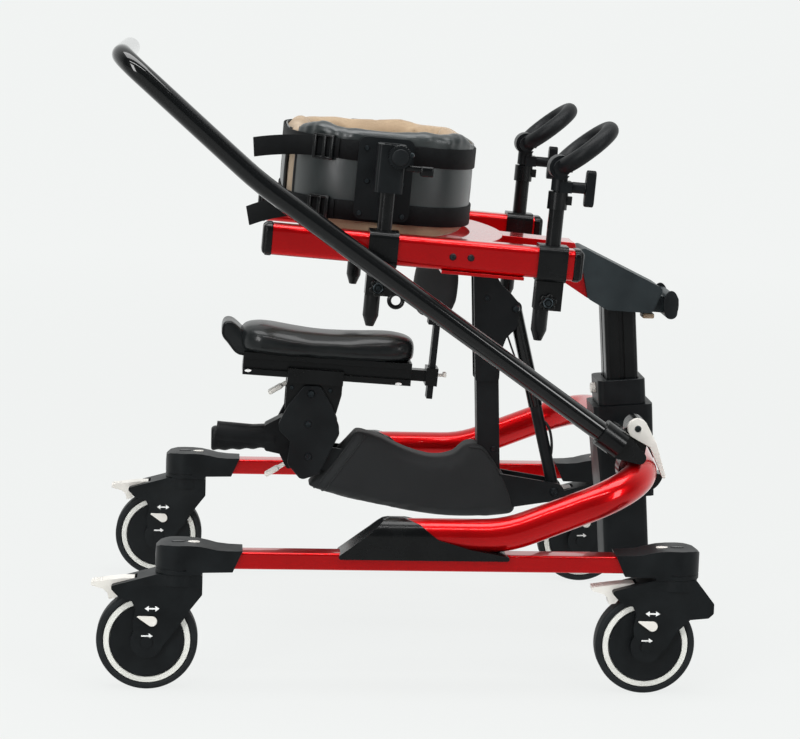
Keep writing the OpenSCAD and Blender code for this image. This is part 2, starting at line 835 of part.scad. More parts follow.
module column_sleeve() {
    length = sleeve_s1 - sleeve_s0;
    way = unit(hoop_path[3] - hoop_path[2]);
    color(black) difference() {
        union() {
            in_mast() intersection() {
                across(2 * sleeve_y) polygon([[sleeve_rear_shares[0] * mast_w, sleeve_s0],
                                              [sleeve_front_shares[0] * mast_w, sleeve_s0],
                                              [sleeve_front_shares[1] * mast_w, sleeve_s1],
                                              [sleeve_rear_shares[1] * mast_w, sleeve_s1]]);
                translate([(sleeve_front_shares[1] + sleeve_rear_shares[1]) / 2 * mast_w, 0, sleeve_s0])
                    linear_extrude(length)
                    rounded_rect((sleeve_front_shares[1] - sleeve_rear_shares[1]) * mast_w,
                                 2 * sleeve_y, sleeve_round);
            }
            mirrored_y() rod(hoop_path[3] - way * socket_len, hoop_path[3], hoop_r + socket_wall);
        }
        in_mast() translate([0, 0, sleeve_s0 - cut]) linear_extrude(length + 2 * cut) mast_section(slide_gap);
        mirrored_y() rod(hoop_path[3] - way * 2 * socket_len, hoop_path[3], hoop_r + snug);
    }
}

module column_collar() {
    length = mast_w + collar_rear + collar_front;
    color(black) in_mast() translate([0, 0, sleeve_s1 + snug]) difference() {
        translate([(collar_front - collar_rear) / 2, 0, 0]) linear_extrude(collar_h)
            rounded_rect(length, mast_d + 2 * collar_side, sleeve_round);
        translate([0, 0, -cut]) linear_extrude(collar_h + 2 * cut) mast_section(slide_gap);
        translate([-mast_w / 2 - collar_rear - cut, 0, button_s - sleeve_s1 - snug]) rotate([0, 90, 0])
            cylinder(h = button_len - button_out + cut, r = button_r + run);
    }
}

module collar_button() {
    color(pale) in_mast() translate([-mast_w / 2 - collar_rear - button_out, 0, button_s]) rotate([0, 90, 0])
        cylinder(h = button_len - gap - button_travel, r = button_r);
}

module mast() {
    color(gloss_black) in_mast() translate([0, 0, mast_s0]) linear_extrude(mast_len) difference() {
        mast_section(0);
        for (s = [-1, 1]) {
            translate([0, s * mast_d / 2]) square([groove_w, 2 * groove_depth], center = true);
            translate([s * mast_w / 2, 0]) square([2 * groove_depth, groove_w], center = true);
        }
    }
}

// Upper frame, in its own tilted frame from the middle of the rails
module bar_section(room) {
    rounded_rect(bar_w + 2 * room, bar_h + 2 * room, bar_round + room);
}

module upper_rails() {
    color(red) in_frame() mirrored_y() translate([-bar_len / 2 + cap_len, -bar_y, 0])
        along_x(bar_len - 2 * cap_len) difference() {
            bar_section(0);
            bar_section(-bar_wall);
        }
}

module rail_end_caps() {
    color(gloss_black) in_frame() mirrored_y() for (s = [0, 180]) rotate([0, 0, s])
        translate([bar_len / 2 - cap_len, s == 0 ? -bar_y : bar_y, 0]) {
            along_x(cap_len) bar_section(cap_lip);
            translate([-cap_plug, 0, 0]) along_x(cap_plug) bar_section(-bar_wall - snug);
        }
}

module neck_outline() {
    polygon([[neck_rear, neck_top], joint_top, joint_mid, joint_low,
             [joint_low[0] - throat_back, joint_low[1] + throat_up], [neck_rear, neck_top - neck_depth]]);
}

module frame_yoke() {
    inner = bar_y - bar_w / 2;
    reach = [for (i = [-beam_steps : beam_steps]) i / beam_steps];
    rear = [for (t = reach) [beam_at - beam_w / 2 + beam_sweep * (1 - t * t), t * inner]];
    front = [for (t = reach) [beam_at + beam_w / 2 + beam_sweep * (1 - t * t), -t * inner]];
    color(red) in_frame() {
        translate([0, 0, beam_bottom]) linear_extrude(beam_top - beam_bottom) polygon(concat(rear, front));
        across(2 * neck_half) neck_outline();
        mirrored_y() translate([beam_at - beam_w / 2, -bar_y - bar_w / 2, -bar_h / 2 - lip_t])
            cube([lip_front - beam_at + beam_w / 2, bar_w, lip_t]);
        mirrored_y() translate([beam_at - beam_w / 2, -inner, -bar_h / 2 - lip_t])
            cube([beam_w, lip_t, bar_h / 2 + lip_t + beam_bottom + cut]);
    }
}

module nose_cover() {
    color(black) difference() {
        in_frame() {
            across(2 * nose_half) softened(nose_round)
                polygon([joint_low, joint_mid, joint_top, nose_tip, nose_chin, nose_belly]);
            translate([bumper_at[0], 0, bumper_at[1]]) {
                across(2 * bumper_half) rounded_rect(bumper_w, bumper_h, bumper_round);
                across(2 * bumper_neck_half)
                    translate([nose_chin[0] - bumper_at[0] - nose_round, -bumper_neck_h / 2])
                    square([bumper_at[0] - nose_chin[0] + nose_round, bumper_neck_h]);
            }
        }
        in_frame() across(2 * neck_half + 2 * snug) offset(delta = snug)
            polygon([[neck_rear, neck_top], joint_top, joint_mid, joint_low, [neck_rear, joint_low[1]]]);
        in_mast() linear_extrude(mast_s1 + snug) mast_section(snug);
    }
}

// Rail clamp with its lower jaw, knob and tapered release end
module rail_clamp() {
    low = -bar_h / 2 - clamp_wall;
    difference() {
        union() {
            translate([-clamp_len / 2, 0, 0]) along_x(clamp_len)
                rounded_rect(bar_w + 2 * clamp_wall, bar_h + 2 * clamp_wall, bar_round);
            translate([-jaw_len / 2, -jaw_w / 2, low - jaw_h]) cube([jaw_len, jaw_w, jaw_h + clamp_wall]);
        }
        translate([-clamp_len, 0, 0]) along_x(2 * clamp_len) bar_section(gap);
    }
    translate([-bullet_set, 0, low - jaw_h - bullet_len]) rotate_extrude()
        polygon([[0, 0], [bullet_tip_r, 0], [bullet_r, bullet_len / 3], [bullet_r, bullet_len],
                 [0, bullet_len]]);
    translate([0, -jaw_w / 2, jaw_bolt_w]) rotate([90, 0, 0]) difference() {
        cylinder(h = jaw_bolt_t, r = jaw_bolt_r);
        translate([0, 0, jaw_bolt_t / 2]) cylinder(h = jaw_bolt_t, r = jaw_socket_r);
    }
}

// Straight post with flats, standing on a clamp
module post(h) {
    flat = post_r * post_flat_share;
    translate([0, 0, clamp_top - cut]) intersection() {
        cylinder(h = h + cut, r = post_r);
        translate([-flat, -flat, 0]) cube([2 * flat, 2 * flat, h + cut]);
    }
}

// Handholds, in the frame of the right upper rail at the handhold's clamp
module in_handhold(side) {
    in_frame() translate([grip_at + (side > 0 ? left_lead : 0), side * bar_y, 0])
        mirror([0, side > 0 ? 1 : 0, 0]) children();
}

module handhold_clamp(side) {
    top = clamp_top + grip_post_len;
    color(gloss_black) in_handhold(side) difference() {
        union() {
            rail_clamp();
            post(grip_post_len);
            translate([0, 0, top - cut]) cylinder(h = grip_collar_h, r = post_r + grip_collar_wall);
            translate([0, -post_r / 2, top + grip_collar_h / 4])
                cube([post_r + 3 * grip_collar_wall, post_r, grip_collar_h / 2]);
        }
        translate([0, 0, clamp_top + cut])
            cylinder(h = grip_post_len + 2 * grip_collar_h, r = stem_core_r + run);
    }
}

module handhold_stem(side) {
    top = clamp_top + grip_post_len + grip_collar_h;
    color(black) in_handhold(side) difference() {
        union() {
            translate([0, 0, top - stem_core_len + cut]) cylinder(h = stem_core_len, r = stem_core_r);
            translate([0, 0, top + gap]) cylinder(h = elbow_w - top - gap, r = post_r);
            translate([elbow_at, 0, elbow_w]) rotate([90, 0, 0])
                cylinder(h = 2 * elbow_half, r = elbow_r, center = true);
            translate([0, -elbow_half, wing_w - wing_boss_r])
                cube([wing_from + wing_boss_r, 2 * elbow_half, 2 * wing_boss_r]);
        }
        translate([elbow_at, 0, elbow_w]) rotate([90, 0, 0])
            cylinder(h = 4 * elbow_half, r = trunnion_r + run, center = true);
        translate([elbow_at, -2 * elbow_half, elbow_w - elbow_split / 2 - elbow_r / 2])
            cube([4 * elbow_half, 4 * elbow_half, elbow_split]);
        translate([wing_from, 0, wing_w]) rotate([0, 90, 0])
            cylinder(h = 4 * wing_boss_r, r = wing_screw_r + run);
    }
}

module handhold_loop(side) {
    color("#2a2d2f") in_handhold(side) translate([elbow_at, 0, elbow_w]) {
        rotate([90, 0, 0]) cylinder(h = 2 * elbow_half + loop_t, r = trunnion_r, center = true);
        rotate([0, -loop_tilt, 0]) translate([loop_r, 0, 0]) difference() {
            rotate_extrude() translate([loop_r, 0]) circle(loop_t / 2);
            translate([-loop_r, 0, 0])
                cube([2 * elbow_r + loop_t / 2, 2 * elbow_half + 2 * gap, 4 * loop_t], center = true);
        }
        rotate([0, -loop_tilt, 0]) for (s = [-1, 1])
            translate([loop_t / 8, s * (elbow_half + loop_t / 4 + gap), 0]) sphere(loop_t / 2 - cut);
    }
}

module wing_knob(side) {
    color(black) in_handhold(side) translate([wing_from, 0, wing_w]) rotate([0, 90, 0]) {
        translate([0, 0, gap]) cylinder(h = wing_boss_r + wing_stem_len, r = wing_screw_r);
        translate([0, 0, wing_boss_r + gap]) cylinder(h = wing_stem_len, r = wing_boss_r);
        translate([0, 0, wing_boss_r + wing_stem_len]) linear_extrude(wing_bar_t)
            rounded_rect(wing_bar_h, wing_bar_w, wing_bar_w / 2 - cut);
    }
}

// Chest ring, in the upper frame
function ring_point(a, in, w) =
    let (c = cos(a), s = sin(a), p = ring_power_share)
    [ring_at + sign(c) * pow(abs(c), p) * (ring_x - in),
     sign(s) * pow(abs(s), p) * (ring_y - in), ring_low + w];

function even_turns(from, to, steps) = [for (i = [0 : steps]) from + (to - from) * i / steps];

module chest_band(turns, low, high, thick, out) {
    loft([for (a = turns)
          [ring_point(a, -out, low), ring_point(a, -out - thick, low),
           ring_point(a, -out - thick, high), ring_point(a, -out, high)]]);
}

module chest_supports() {
    color(gloss_black) in_frame() mirrored_y() translate([chest_at, -bar_y, 0]) {
        rail_clamp();
        post(chest_post_len);
    }
}

module chest_mounts() {
    face = ring_y + shell_t + strap_t + 3 * gap;
    flat = post_r * post_flat_share;
    color(black) in_frame() mirrored_y() {
        difference() {
            union() {
                translate([chest_at, -bar_y, mech_w0]) linear_extrude(mech_h)
                    rounded_rect(mech_len + post_d - 2 * flat + mech_round, post_d + 2 * mech_round,
                                 mech_round);
                translate([chest_at - mech_len / 2, -bar_y + post_r, mech_w0])
                    cube([mech_len, bar_y - post_r - face - plate_t / 2, mech_h]);
            }
            translate([chest_at, -bar_y, mech_w0 - cut]) linear_extrude(mech_h + 2 * cut)
                square(2 * flat + 2 * gap, center = true);
        }
        translate([chest_at - ring_set, -face, plate_w0 + plate_h / 2]) rotate([90, 0, 0])
            linear_extrude(plate_t) rounded_rect(plate_len, plate_h, plate_round);
        translate([chest_at + dial_u, -bar_y - post_r - mech_round, dial_w]) rotate([90, 0, 0]) {
            cylinder(h = dial_t, r = dial_r);
            for (i = [1 : dial_teeth]) rotate(i * 360 / dial_teeth) translate([dial_r, 0, 0])
                cylinder(h = dial_t - cut, r = dial_tooth, $fn = 16);
        }
    }
}

module chest_lining() {
    color(tan_cloth) in_frame() loft([for (i = [0 : ring_steps - 1]) let (a = -360 * i / ring_steps)
        [for (s = lining_shares) ring_point(a, chest_wall * (1 - s[0]) + gap, s[1] * chest_h)]],
        looped = true);
}

module chest_shell() {
    low = shell_low_share * chest_h;
    high = shell_high_share * chest_h;
    color(black) in_frame() {
        chest_band(shell_front_turns, low, high, shell_t, gap);
        chest_band(shell_rear_turns, low, high, shell_t, gap);
    }
}

module chest_straps() {
    color(gloss_black) in_frame() for (share = [strap_high_share, strap_low_share]) {
        mid = share * chest_h;
        under = -shell_t - 2 * gap;
        way = unit(ring_point(-tail_turn - 1, 0, 0) - ring_point(-tail_turn + 1, 0, 0));
        multmatrix(basis(way, cross([0, 0, 1], way), [0, 0, 1], ring_point(-tail_turn, under, mid))) {
            translate([-buckle_len / 2, 0, 0]) rotate([0, tail_droop, 0]) translate([0, 0, -strap_w / 2])
                cube([tail_len, strap_t, strap_w]);
            translate([-buckle_len / 2, cut, -buckle_h / 2]) cube([buckle_len, buckle_t, buckle_h]);
        }
        loft([for (a = shell_turns)
              [ring_point(a, under, mid - strap_w / 2), ring_point(a, under, mid + strap_w / 2),
               ring_point(a, under - strap_t, mid + strap_w / 2),
               ring_point(a, under - strap_t, mid - strap_w / 2)]], looped = true);
    }
}

// Saddle leg, arm and gas spring
module saddle_post() {
    top = (frame_height - leg_top_drop - arm_pivot[1]) / cos(post_lean);
    size = top - bracket_low;
    color(black) difference() {
        in_leg() {
            translate([-leg_w / 2, -leg_d / 2, -leg_below]) cube([leg_w, leg_d, top + leg_below]);
            for (s = [-1, 1]) translate([0, s * (leg_d + bracket_t) / 2, 0]) across(bracket_t)
                softened(bracket_round)
                polygon([for (p = bracket_shares) [p[0] * leg_w, bracket_low + p[1] * size]]);
            rotate([90, 0, 0]) cylinder(h = 2 * (plate_in + arm_plate_t), r = arm_pin_r, center = true);
            translate([gas_head_local[0], 0, gas_head_local[1]]) rotate([90, 0, 0])
                cylinder(h = leg_d + 2 * bracket_t, r = gas_pin_r, center = true);
        }
        in_frame() across(2 * neck_half + 2 * cut) offset(delta = snug) neck_outline();
    }
}

module gas_spring_tube() {
    color(gloss_black) in_gas() difference() {
        union() {
            rotate([90, 0, 0]) cylinder(h = gas_eye_w, r = gas_eye_r, center = true);
            translate([0, 0, -gas_tube_len]) cylinder(h = gas_tube_len, r = gas_d / 2);
        }
        rotate([90, 0, 0]) cylinder(h = 2 * gas_eye_w, r = gas_pin_r + run, center = true);
        translate([0, 0, -gas_tube_len - cut])
            cylinder(h = gas_tube_len - 2 * gas_eye_r + cut, r = gas_rod_r + run);
    }
}

module gas_spring_rod() {
    color(black) in_gas() difference() {
        union() {
            translate([0, 0, -gas_len]) cylinder(h = gas_len - gas_tube_len + gas_rod_in, r = gas_rod_r);
            translate([0, 0, -gas_len]) rotate([90, 0, 0])
                cylinder(h = gas_eye_w, r = gas_eye_r, center = true);
        }
        translate([0, 0, -gas_len]) rotate([90, 0, 0])
            cylinder(h = 2 * gas_eye_w, r = gas_pin_r + gas_slack, center = true);
    }
}

module saddle_arm() {
    color(black) difference() {
        union() {
            for (s = [-1, 1]) translate([0, s * (plate_in + arm_plate_t / 2), 0]) across(arm_plate_t) {
                link(kite_low, arm_rear_r, arm_pivot, arm_root_r);
                link(arm_pivot, arm_root_r, gas_foot, arm_front_r);
            }
            translate([gas_foot[0], 0, gas_foot[1]]) rotate([90, 0, 0])
                cylinder(h = 2 * plate_in + arm_plate_t, r = gas_pin_r, center = true);
            translate([kite_low[0] + arm_reach / 2, 0, arm_pivot[1] + arm_climb / 2]) rotate([90, 0, 0])
                cylinder(h = 2 * plate_in + arm_plate_t, r = arm_rear_r / 2, center = true);
        }
        translate([arm_pivot[0], 0, arm_pivot[1]]) rotate([90, 0, 0])
            cylinder(h = 4 * plate_in, r = arm_pin_r + run, center = true);
        translate([kite_low[0], 0, kite_low[1]]) rotate([90, 0, 0])
            cylinder(h = 4 * plate_in, r = kite_pin_r + run, center = true);
    }
}

module sleeve_outline() {
    polygon([for (s = concat(sleeve_top_shares, sleeve_low_shares))
             arm_pivot + [s[0] * arm_reach, s[1] * arm_height]]);
}

module arm_sleeve() {
    inner = plate_in + arm_plate_t + gap;
    color("#26292b") difference() {
        union() {
            across(2 * (sleeve_half - sleeve_soft / 2)) sleeve_outline();
            across(2 * sleeve_half) offset(delta = -sleeve_soft) sleeve_outline();
        }
        across(2 * inner) offset(delta = -sleeve_skin) sleeve_outline();
        across(2 * inner) {
            offset(delta = gap) link(kite_low, arm_rear_r, arm_pivot, arm_root_r);
            offset(delta = gap) link(arm_pivot, arm_root_r, gas_foot, arm_front_r);
        }
        in_leg() translate([-leg_w / 2 - slot_room, gap - inner, 0])
            cube([leg_w + 2 * slot_room, 2 * (inner - gap), 2 * arm_height]);
    }
}

module tilt_plates() {
    color(black) {
        for (s = [-1, 1]) translate([0, s * (kite_half - kite_t / 2), 0]) across(kite_t) softened(kite_round)
            polygon([for (p = kite_shares) kite_low + p * kite_size]);
        for (p = [kite_low, kite_top]) translate([p[0], 0, p[1]]) rotate([90, 0, 0])
            cylinder(h = kite_w - kite_t, r = kite_pin_r, center = true);
    }
}

module grip_handle() {
    at = kite_low + [-grip_start, grip_rise_share * kite_size];
    color("#2a2d2f") {
        translate([at[0], 0, at[1]]) rotate([0, -90 + grip_drop, 0]) difference() {
            cylinder(h = grip_len, r = grip_r);
            for (i = [0 : finger_count - 1])
                translate([finger_bite - grip_r - finger_r, 0,
                           grip_len - finger_pitch * (i + finger_first_share)])
                    rotate([90, 0, 0]) cylinder(h = 4 * grip_r, r = finger_r, center = true);
        }
        across(2 * root_half) softened(kite_round / 2)
            polygon([for (p = root_shares) kite_low + p * kite_size]);
        translate([kite_low[0] - grip_pin_share * kite_size, 0, at[1]]) rotate([90, 0, 0])
            cylinder(h = kite_w - 2 * kite_t, r = kite_pin_r, center = true);
    }
}

// Saddle, in its own tilted frame from the tilt plates' upper bolt
module saddle_carriage() {
    color(gloss_black) in_saddle() difference() {
        union() {
            translate([-carriage_rear, 0, carriage_low]) along_x(carriage_rear + carriage_front) {
                translate([-carriage_half, carriage_h - slab_t]) square([2 * carriage_half, slab_t]);
                translate([-carriage_waist, 0]) square([2 * carriage_waist, carriage_h]);
                translate([-carriage_half, 0]) square([2 * carriage_half, slab_t]);
            }
            translate([-block_rear, -block_half, block_low + slab_t])
                cube([block_len, 2 * block_half, block_high - block_low - slab_t]);
            for (s = [-1, 1]) translate([0, s * (hinge_half - hinge_t / 2), 0]) across(hinge_t)
                softened(kite_round / 2) polygon([[-block_rear, block_high], [-block_rear, hinge_low],
                                                  [block_rear, hinge_low], [block_len - block_rear, 0],
                                                  [block_len - block_rear, block_high]]);
            translate([carriage_front - cut, -pommel_foot_half / 2, carriage_low + slab_t / 2])
                cube([pommel_x, pommel_foot_half, pommel_foot_h]);
            translate([carriage_front + pommel_x, 0, carriage_low + slab_t / 2 + pommel_foot_h / 2])
                rotate([0, pommel_lean - seat_tilt, 0])
                cube([pommel_guide_w, pommel_bar_d + pommel_guide_w / 2, pommel_guide_h], center = true);
            translate([0, 0, seat_z - gap]) across(2 * tail_half) softened(tail_round)
                polygon([for (p = tail_shares) [-tail_at + p[0] * tail_reach, p[1] * tail_rise]]);
        }
        rotate([90, 0, 0]) cylinder(h = 2 * kite_w, r = kite_pin_r + run, center = true);
        translate([carriage_front + pommel_x, 0, carriage_low + slab_t / 2 + pommel_foot_h / 2])
            rotate([0, pommel_lean - seat_tilt, 0])
            cube([pommel_bar_w + 2 * gap, pommel_bar_d + 2 * gap, 4 * pommel_guide_h], center = true);
        translate([-seat_rear, -seat_w, seat_z - gap]) cube([seat_len, 2 * seat_w, seat_t]);
    }
}

module saddle_cushion() {
    color("#1f2225") in_saddle() loft([for (i = [0 : seat_rings]) let (
            t = (1 - cos(180 * i / seat_rings)) / 2,
            fade = pow(max(0, 1 - pow(abs(2 * t - 1), 6)), 0.35) * (1 - seat_end_share) + seat_end_share,
            wide = seat_w / 2 * (1 - (1 - seat_nose_share) * t) * fade,
            tall = seat_t * (1 - seat_fall_share * t - seat_dip_share * sin(180 * pow(t, 0.9))))
        [for (j = [0 : seat_sides - 1]) let (a = 360 * j / seat_sides, c = cos(a), s = sin(a))
            [-seat_rear + seat_len * t, sign(c) * pow(abs(c), 0.55) * wide,
             seat_z + (s > 0 ? 0.5 + 0.5 * fade * pow(s, 0.8) : 0.5 - 0.5 * pow(-s, 0.35)) * tall]]]);
}

module in_pommel() {
    in_saddle() translate([carriage_front + pommel_x, 0, carriage_low + slab_t / 2 + pommel_foot_h / 2])
        rotate([0, pommel_lean - seat_tilt, 0]) children();
}

module pommel_bar() {
    top = pommel_bar_len - pommel_bar_below;
    color(black) in_pommel() {
        translate([-pommel_bar_w / 2, -pommel_bar_d / 2, -pommel_bar_below])
            cube([pommel_bar_w, pommel_bar_d, pommel_bar_len]);
        translate([-pommel_block_w / 2, -pommel_bar_d / 2 - cut, top])
            cube([pommel_block_w, pommel_bar_d + 2 * cut, pommel_block_h]);
    }
}

module pommel_pad() {
    base = pommel_bar_len - pommel_bar_below + pommel_pad_rise;
    color("#26292b") in_pommel() difference() {
        loft([for (i = [0 : pad_rings])
            let (t = i / pad_rings, r = pow(max(pad_end_share, 1 - pow(abs(2 * t - 1), 2.6)), 0.45))
            [for (j = [0 : pad_sides - 1]) let (a = 360 * j / pad_sides)
                [pommel_pad_set + pommel_pad_w / 2 * r * cos(a), pommel_pad_t / 2 * r * sin(a),
                 base + pommel_pad_h * t]]]);
        translate([-pommel_block_w / 2 - snug, -pommel_bar_d / 2 - cut - snug, 0])
            cube([pommel_block_w + 2 * snug, pommel_bar_d + 2 * cut + 2 * snug,
                  base + pommel_block_h - pommel_pad_rise + snug]);
    }
}

// Guide bar with its claw and cam lever on the right hoop
module guide_bar() {
    color(gloss_black) bent_rod(guide_path, guide_bends, guide_r);
}

module guide_claw() {
    way = unit(guide_foot - guide_knee);
    mid = (claw_y + guide_y) / 2;
    color(gloss_black) difference() {
        union() {
            translate([0, claw_y, 0]) across(2 * claw_half) {
                translate([claw_x, claw_z]) circle(hoop_r + claw_wall);
                link([claw_x - claw_wall, claw_z + hoop_r], claw_wall * 2, cam_at, cam_r);
            }
            rod(guide_foot - way * socket_grip, guide_foot + way * socket_cup, guide_r + socket_cup);
            translate([0, mid, 0]) across(claw_y + claw_half - guide_y)
                link([guide_foot[0], guide_foot[2]], guide_r + socket_cup,
                     [claw_x - bridge_back, claw_z + hoop_r + bridge_up], claw_wall);
        }
        bent_rod(hoop_path, hoop_bends, hoop_r + snug);
        rod(guide_foot - way * 2 * socket_grip, guide_foot, guide_r + snug);
        translate([claw_x, claw_y, claw_z]) rotate([0, hook_open, 0])
            translate([-2 * hoop_r, -2 * claw_half, 0]) cube([2 * hoop_r, 4 * claw_half, 3 * hoop_r]);
        translate([cam_at[0], claw_y, cam_at[1]]) rotate([90, 0, 0])
            cylinder(h = 4 * claw_half, r = cam_pin_r + run, center = true);
    }
}

module guide_cam_lever() {
    elbow = cam_elbow * [cos(cam_slope), -sin(cam_slope)];
    color(pale) translate([cam_at[0], claw_y - claw_half - gap, cam_at[1]]) rotate([90, 0, 0]) {
        linear_extrude(cam_t / 2) {
            link([0, 0], cam_r, elbow, cam_elbow_r);
            link(elbow, cam_elbow_r,
                 elbow + cam_tip_len * [cos(cam_tip_slope), -sin(cam_tip_slope)], cam_tip_r);
        }
        translate([0, 0, -2 * claw_half]) cylinder(h = 2 * claw_half + cam_t / 2, r = cam_pin_r);
    }
}

base_rails();
hoop_tubes();
rail_fairings();
rear_caster_housings();
front_caster_housings();
column_sleeve();
column_collar();
collar_button();
guide_bar();
guide_claw();
guide_cam_lever();
at_swivel(rear_x, -side_y) fork(fork_heel_shares);  // rear_right_fork
at_swivel(rear_x, -side_y) wheel();  // rear_right_wheel
at_swivel(rear_x, -side_y) tyre();  // rear_right_tyre
at_swivel(rear_x, -side_y) brake_pedal();  // rear_right_brake_pedal
at_swivel(rear_x, -side_y) selector();  // rear_right_selector
at_swivel(rear_x, side_y) fork(fork_heel_shares);  // rear_left_fork
at_swivel(rear_x, side_y) wheel();  // rear_left_wheel
at_swivel(rear_x, side_y) tyre();  // rear_left_tyre
at_swivel(rear_x, side_y) brake_pedal();  // rear_left_brake_pedal
at_swivel(rear_x, side_y) selector();  // rear_left_selector
at_swivel(front_x, -side_y) fork(fork_toe_shares);  // front_right_fork
at_swivel(front_x, -side_y) wheel();  // front_right_wheel
at_swivel(front_x, -side_y) tyre();  // front_right_tyre
at_swivel(front_x, -side_y) brake_pedal();  // front_right_brake_pedal
at_swivel(front_x, -side_y) selector();  // front_right_selector
at_swivel(front_x, side_y) fork(fork_toe_shares);  // front_left_fork
at_swivel(front_x, side_y) wheel();  // front_left_wheel
at_swivel(front_x, side_y) tyre();  // front_left_tyre
at_swivel(front_x, side_y) brake_pedal();  // front_left_brake_pedal
at_swivel(front_x, side_y) selector();  // front_left_selector
mast();
upper_rails();
frame_yoke();
nose_cover();
rail_end_caps();
handhold_clamp(-1);  // right_handhold_clamp
handhold_stem(-1);  // right_handhold_stem
handhold_loop(-1);  // right_handhold_loop
wing_knob(-1);  // right_handhold_wing_knob
handhold_clamp(1);  // left_handhold_clamp
handhold_stem(1);  // left_handhold_stem
handhold_loop(1);  // left_handhold_loop
wing_knob(1);  // left_handhold_wing_knob
chest_supports();
chest_mounts();
chest_shell();
chest_lining();
chest_straps();
saddle_post();
gas_spring_tube();
gas_spring_rod();
saddle_arm();
arm_sleeve();
tilt_plates();
grip_handle();
saddle_carriage();
saddle_cushion();
pommel_bar();
pommel_pad();
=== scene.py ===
# Gait trainer: finishes, soft goods, trim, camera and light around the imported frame
import json
import math

import bmesh
import bpy
from mathutils import Matrix, Vector
from mathutils.bvhtree import BVHTree


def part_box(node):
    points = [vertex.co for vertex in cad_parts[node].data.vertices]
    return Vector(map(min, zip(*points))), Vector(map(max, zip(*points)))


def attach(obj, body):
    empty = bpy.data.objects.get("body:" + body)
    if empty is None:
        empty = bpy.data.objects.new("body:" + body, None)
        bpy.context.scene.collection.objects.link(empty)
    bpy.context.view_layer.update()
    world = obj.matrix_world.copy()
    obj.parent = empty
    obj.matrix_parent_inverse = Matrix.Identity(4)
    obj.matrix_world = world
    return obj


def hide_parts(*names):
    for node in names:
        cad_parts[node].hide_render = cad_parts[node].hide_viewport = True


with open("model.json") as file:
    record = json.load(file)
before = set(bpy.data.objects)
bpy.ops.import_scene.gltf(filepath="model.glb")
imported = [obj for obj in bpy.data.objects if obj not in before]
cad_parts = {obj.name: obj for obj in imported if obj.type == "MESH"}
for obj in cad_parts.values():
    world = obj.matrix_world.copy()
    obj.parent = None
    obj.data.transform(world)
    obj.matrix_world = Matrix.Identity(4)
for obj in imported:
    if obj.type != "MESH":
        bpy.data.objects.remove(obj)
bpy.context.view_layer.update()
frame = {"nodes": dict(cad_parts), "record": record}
bodyOf = {node: body for body, nodes in frame["record"]["behaviour"]["bodies"].items() for node in nodes}
print("frame loaded:", len(frame["nodes"]), "nodes")


def hexColour(text):  # sRGB hex to linear RGBA
    parts = [int(text[i:i + 2], 16) / 255 for i in (1, 3, 5)]
    return [p / 12.92 if p <= 0.04045 else ((p + 0.055) / 1.055) ** 2.4 for p in parts] + [1.0]


def perMm(size):  # texture scale for a feature of that many millimetres, in metres of Object space
    return 1000.0 / size


def addNode(tree, kind, inputs=(), **settings):  # inputs by name, or in their order
    node = tree.nodes.new("ShaderNode" + kind)
    for name, value in settings.items():
        setattr(node, name, value)
    for name, value in inputs.items() if isinstance(inputs, dict) else enumerate(inputs):
        if isinstance(value, bpy.types.NodeSocket):
            tree.links.new(value, node.inputs[name])
        else:
            node.inputs[name].default_value = value
    return node


# camera: the photograph's viewpoint, fitted to the wheels and rails
photoView = {"focalPx": 2604.0, "widthPx": 800.0, "place": (-0.2375, -3.444, 0.895),
             "yaw": 4.09, "pitch": 8.86, "roll": 1.61, "sensorMm": 36.0, "far": 400.0}


def addCamera(view):
    data = bpy.data.cameras.new("photoCamera")
    data.sensor_width = view["sensorMm"]
    data.lens = view["focalPx"] / view["widthPx"] * view["sensorMm"]
    data.clip_end = view["far"]
    camera = bpy.data.objects.new("photoCamera", data)
    camera.matrix_world = Matrix.Translation(view["place"])
    for degrees, axis in ((-view["yaw"], "Z"), (90 - view["pitch"], "X"), (view["roll"], "Z")):
        camera.matrix_world = camera.matrix_world @ Matrix.Rotation(math.radians(degrees), 4, axis)
    bpy.context.scene.collection.objects.link(camera)
    bpy.context.scene.camera = camera


addCamera(photoView)

# studio: pale seamless floor, a lit sweep behind, a dim room in front and four soft boxes
studio = {"backdrop": "#f0f2f1", "floorHalf": 180.0, "keep": 0.93, "glow": (0.99, 1.056), "fall": (0.4, 4.5),
          "mirrored": (0.35, 1.0), "mirrorDepth": (-0.8, 0.6), "room": (0.08, 0.95), "roomDepth": (-0.3, 0.35)}
lamps = {"overhead": ((0.0, -0.3, 2.6), (0, 0, 0.4), (2.6, 1.1), 50),  # place, aim, size and watts
         "leftFront": ((-2.0, -2.9, 1.6), (0, 0, 0.5), (0.8, 2.0), 50),
         "rightFront": ((2.4, -2.4, 1.5), (0, 0, 0.4), (0.7, 1.8), 28),
         "strip": ((-0.2, -1.7, 2.5), (0, 0, 0.4), (2.6, 0.14), 16)}


def addWorld(scene, grey):
    scene.world = bpy.data.worlds.new("studioWorld")
    scene.world.use_nodes = True
    tree = scene.world.node_tree
    tree.nodes.clear()
    toward = addNode(tree, "SeparateXYZ", [addNode(tree, "TexCoord").outputs["Generated"]])
    level = addNode(tree, "MapRange", (toward.outputs["Y"], *studio["roomDepth"], *studio["room"]))
    lit = addNode(tree, "Background", {"Color": grey, "Strength": level.outputs[0]})
    seen = addNode(tree, "Background", {"Color": grey, "Strength": 1.0})
    cameraRay = addNode(tree, "LightPath").outputs["Is Camera Ray"]
    mix = addNode(tree, "MixShader", (cameraRay, lit.outputs[0], seen.outputs[0]))
    addNode(tree, "OutputWorld", {"Surface": mix.outputs[0]})


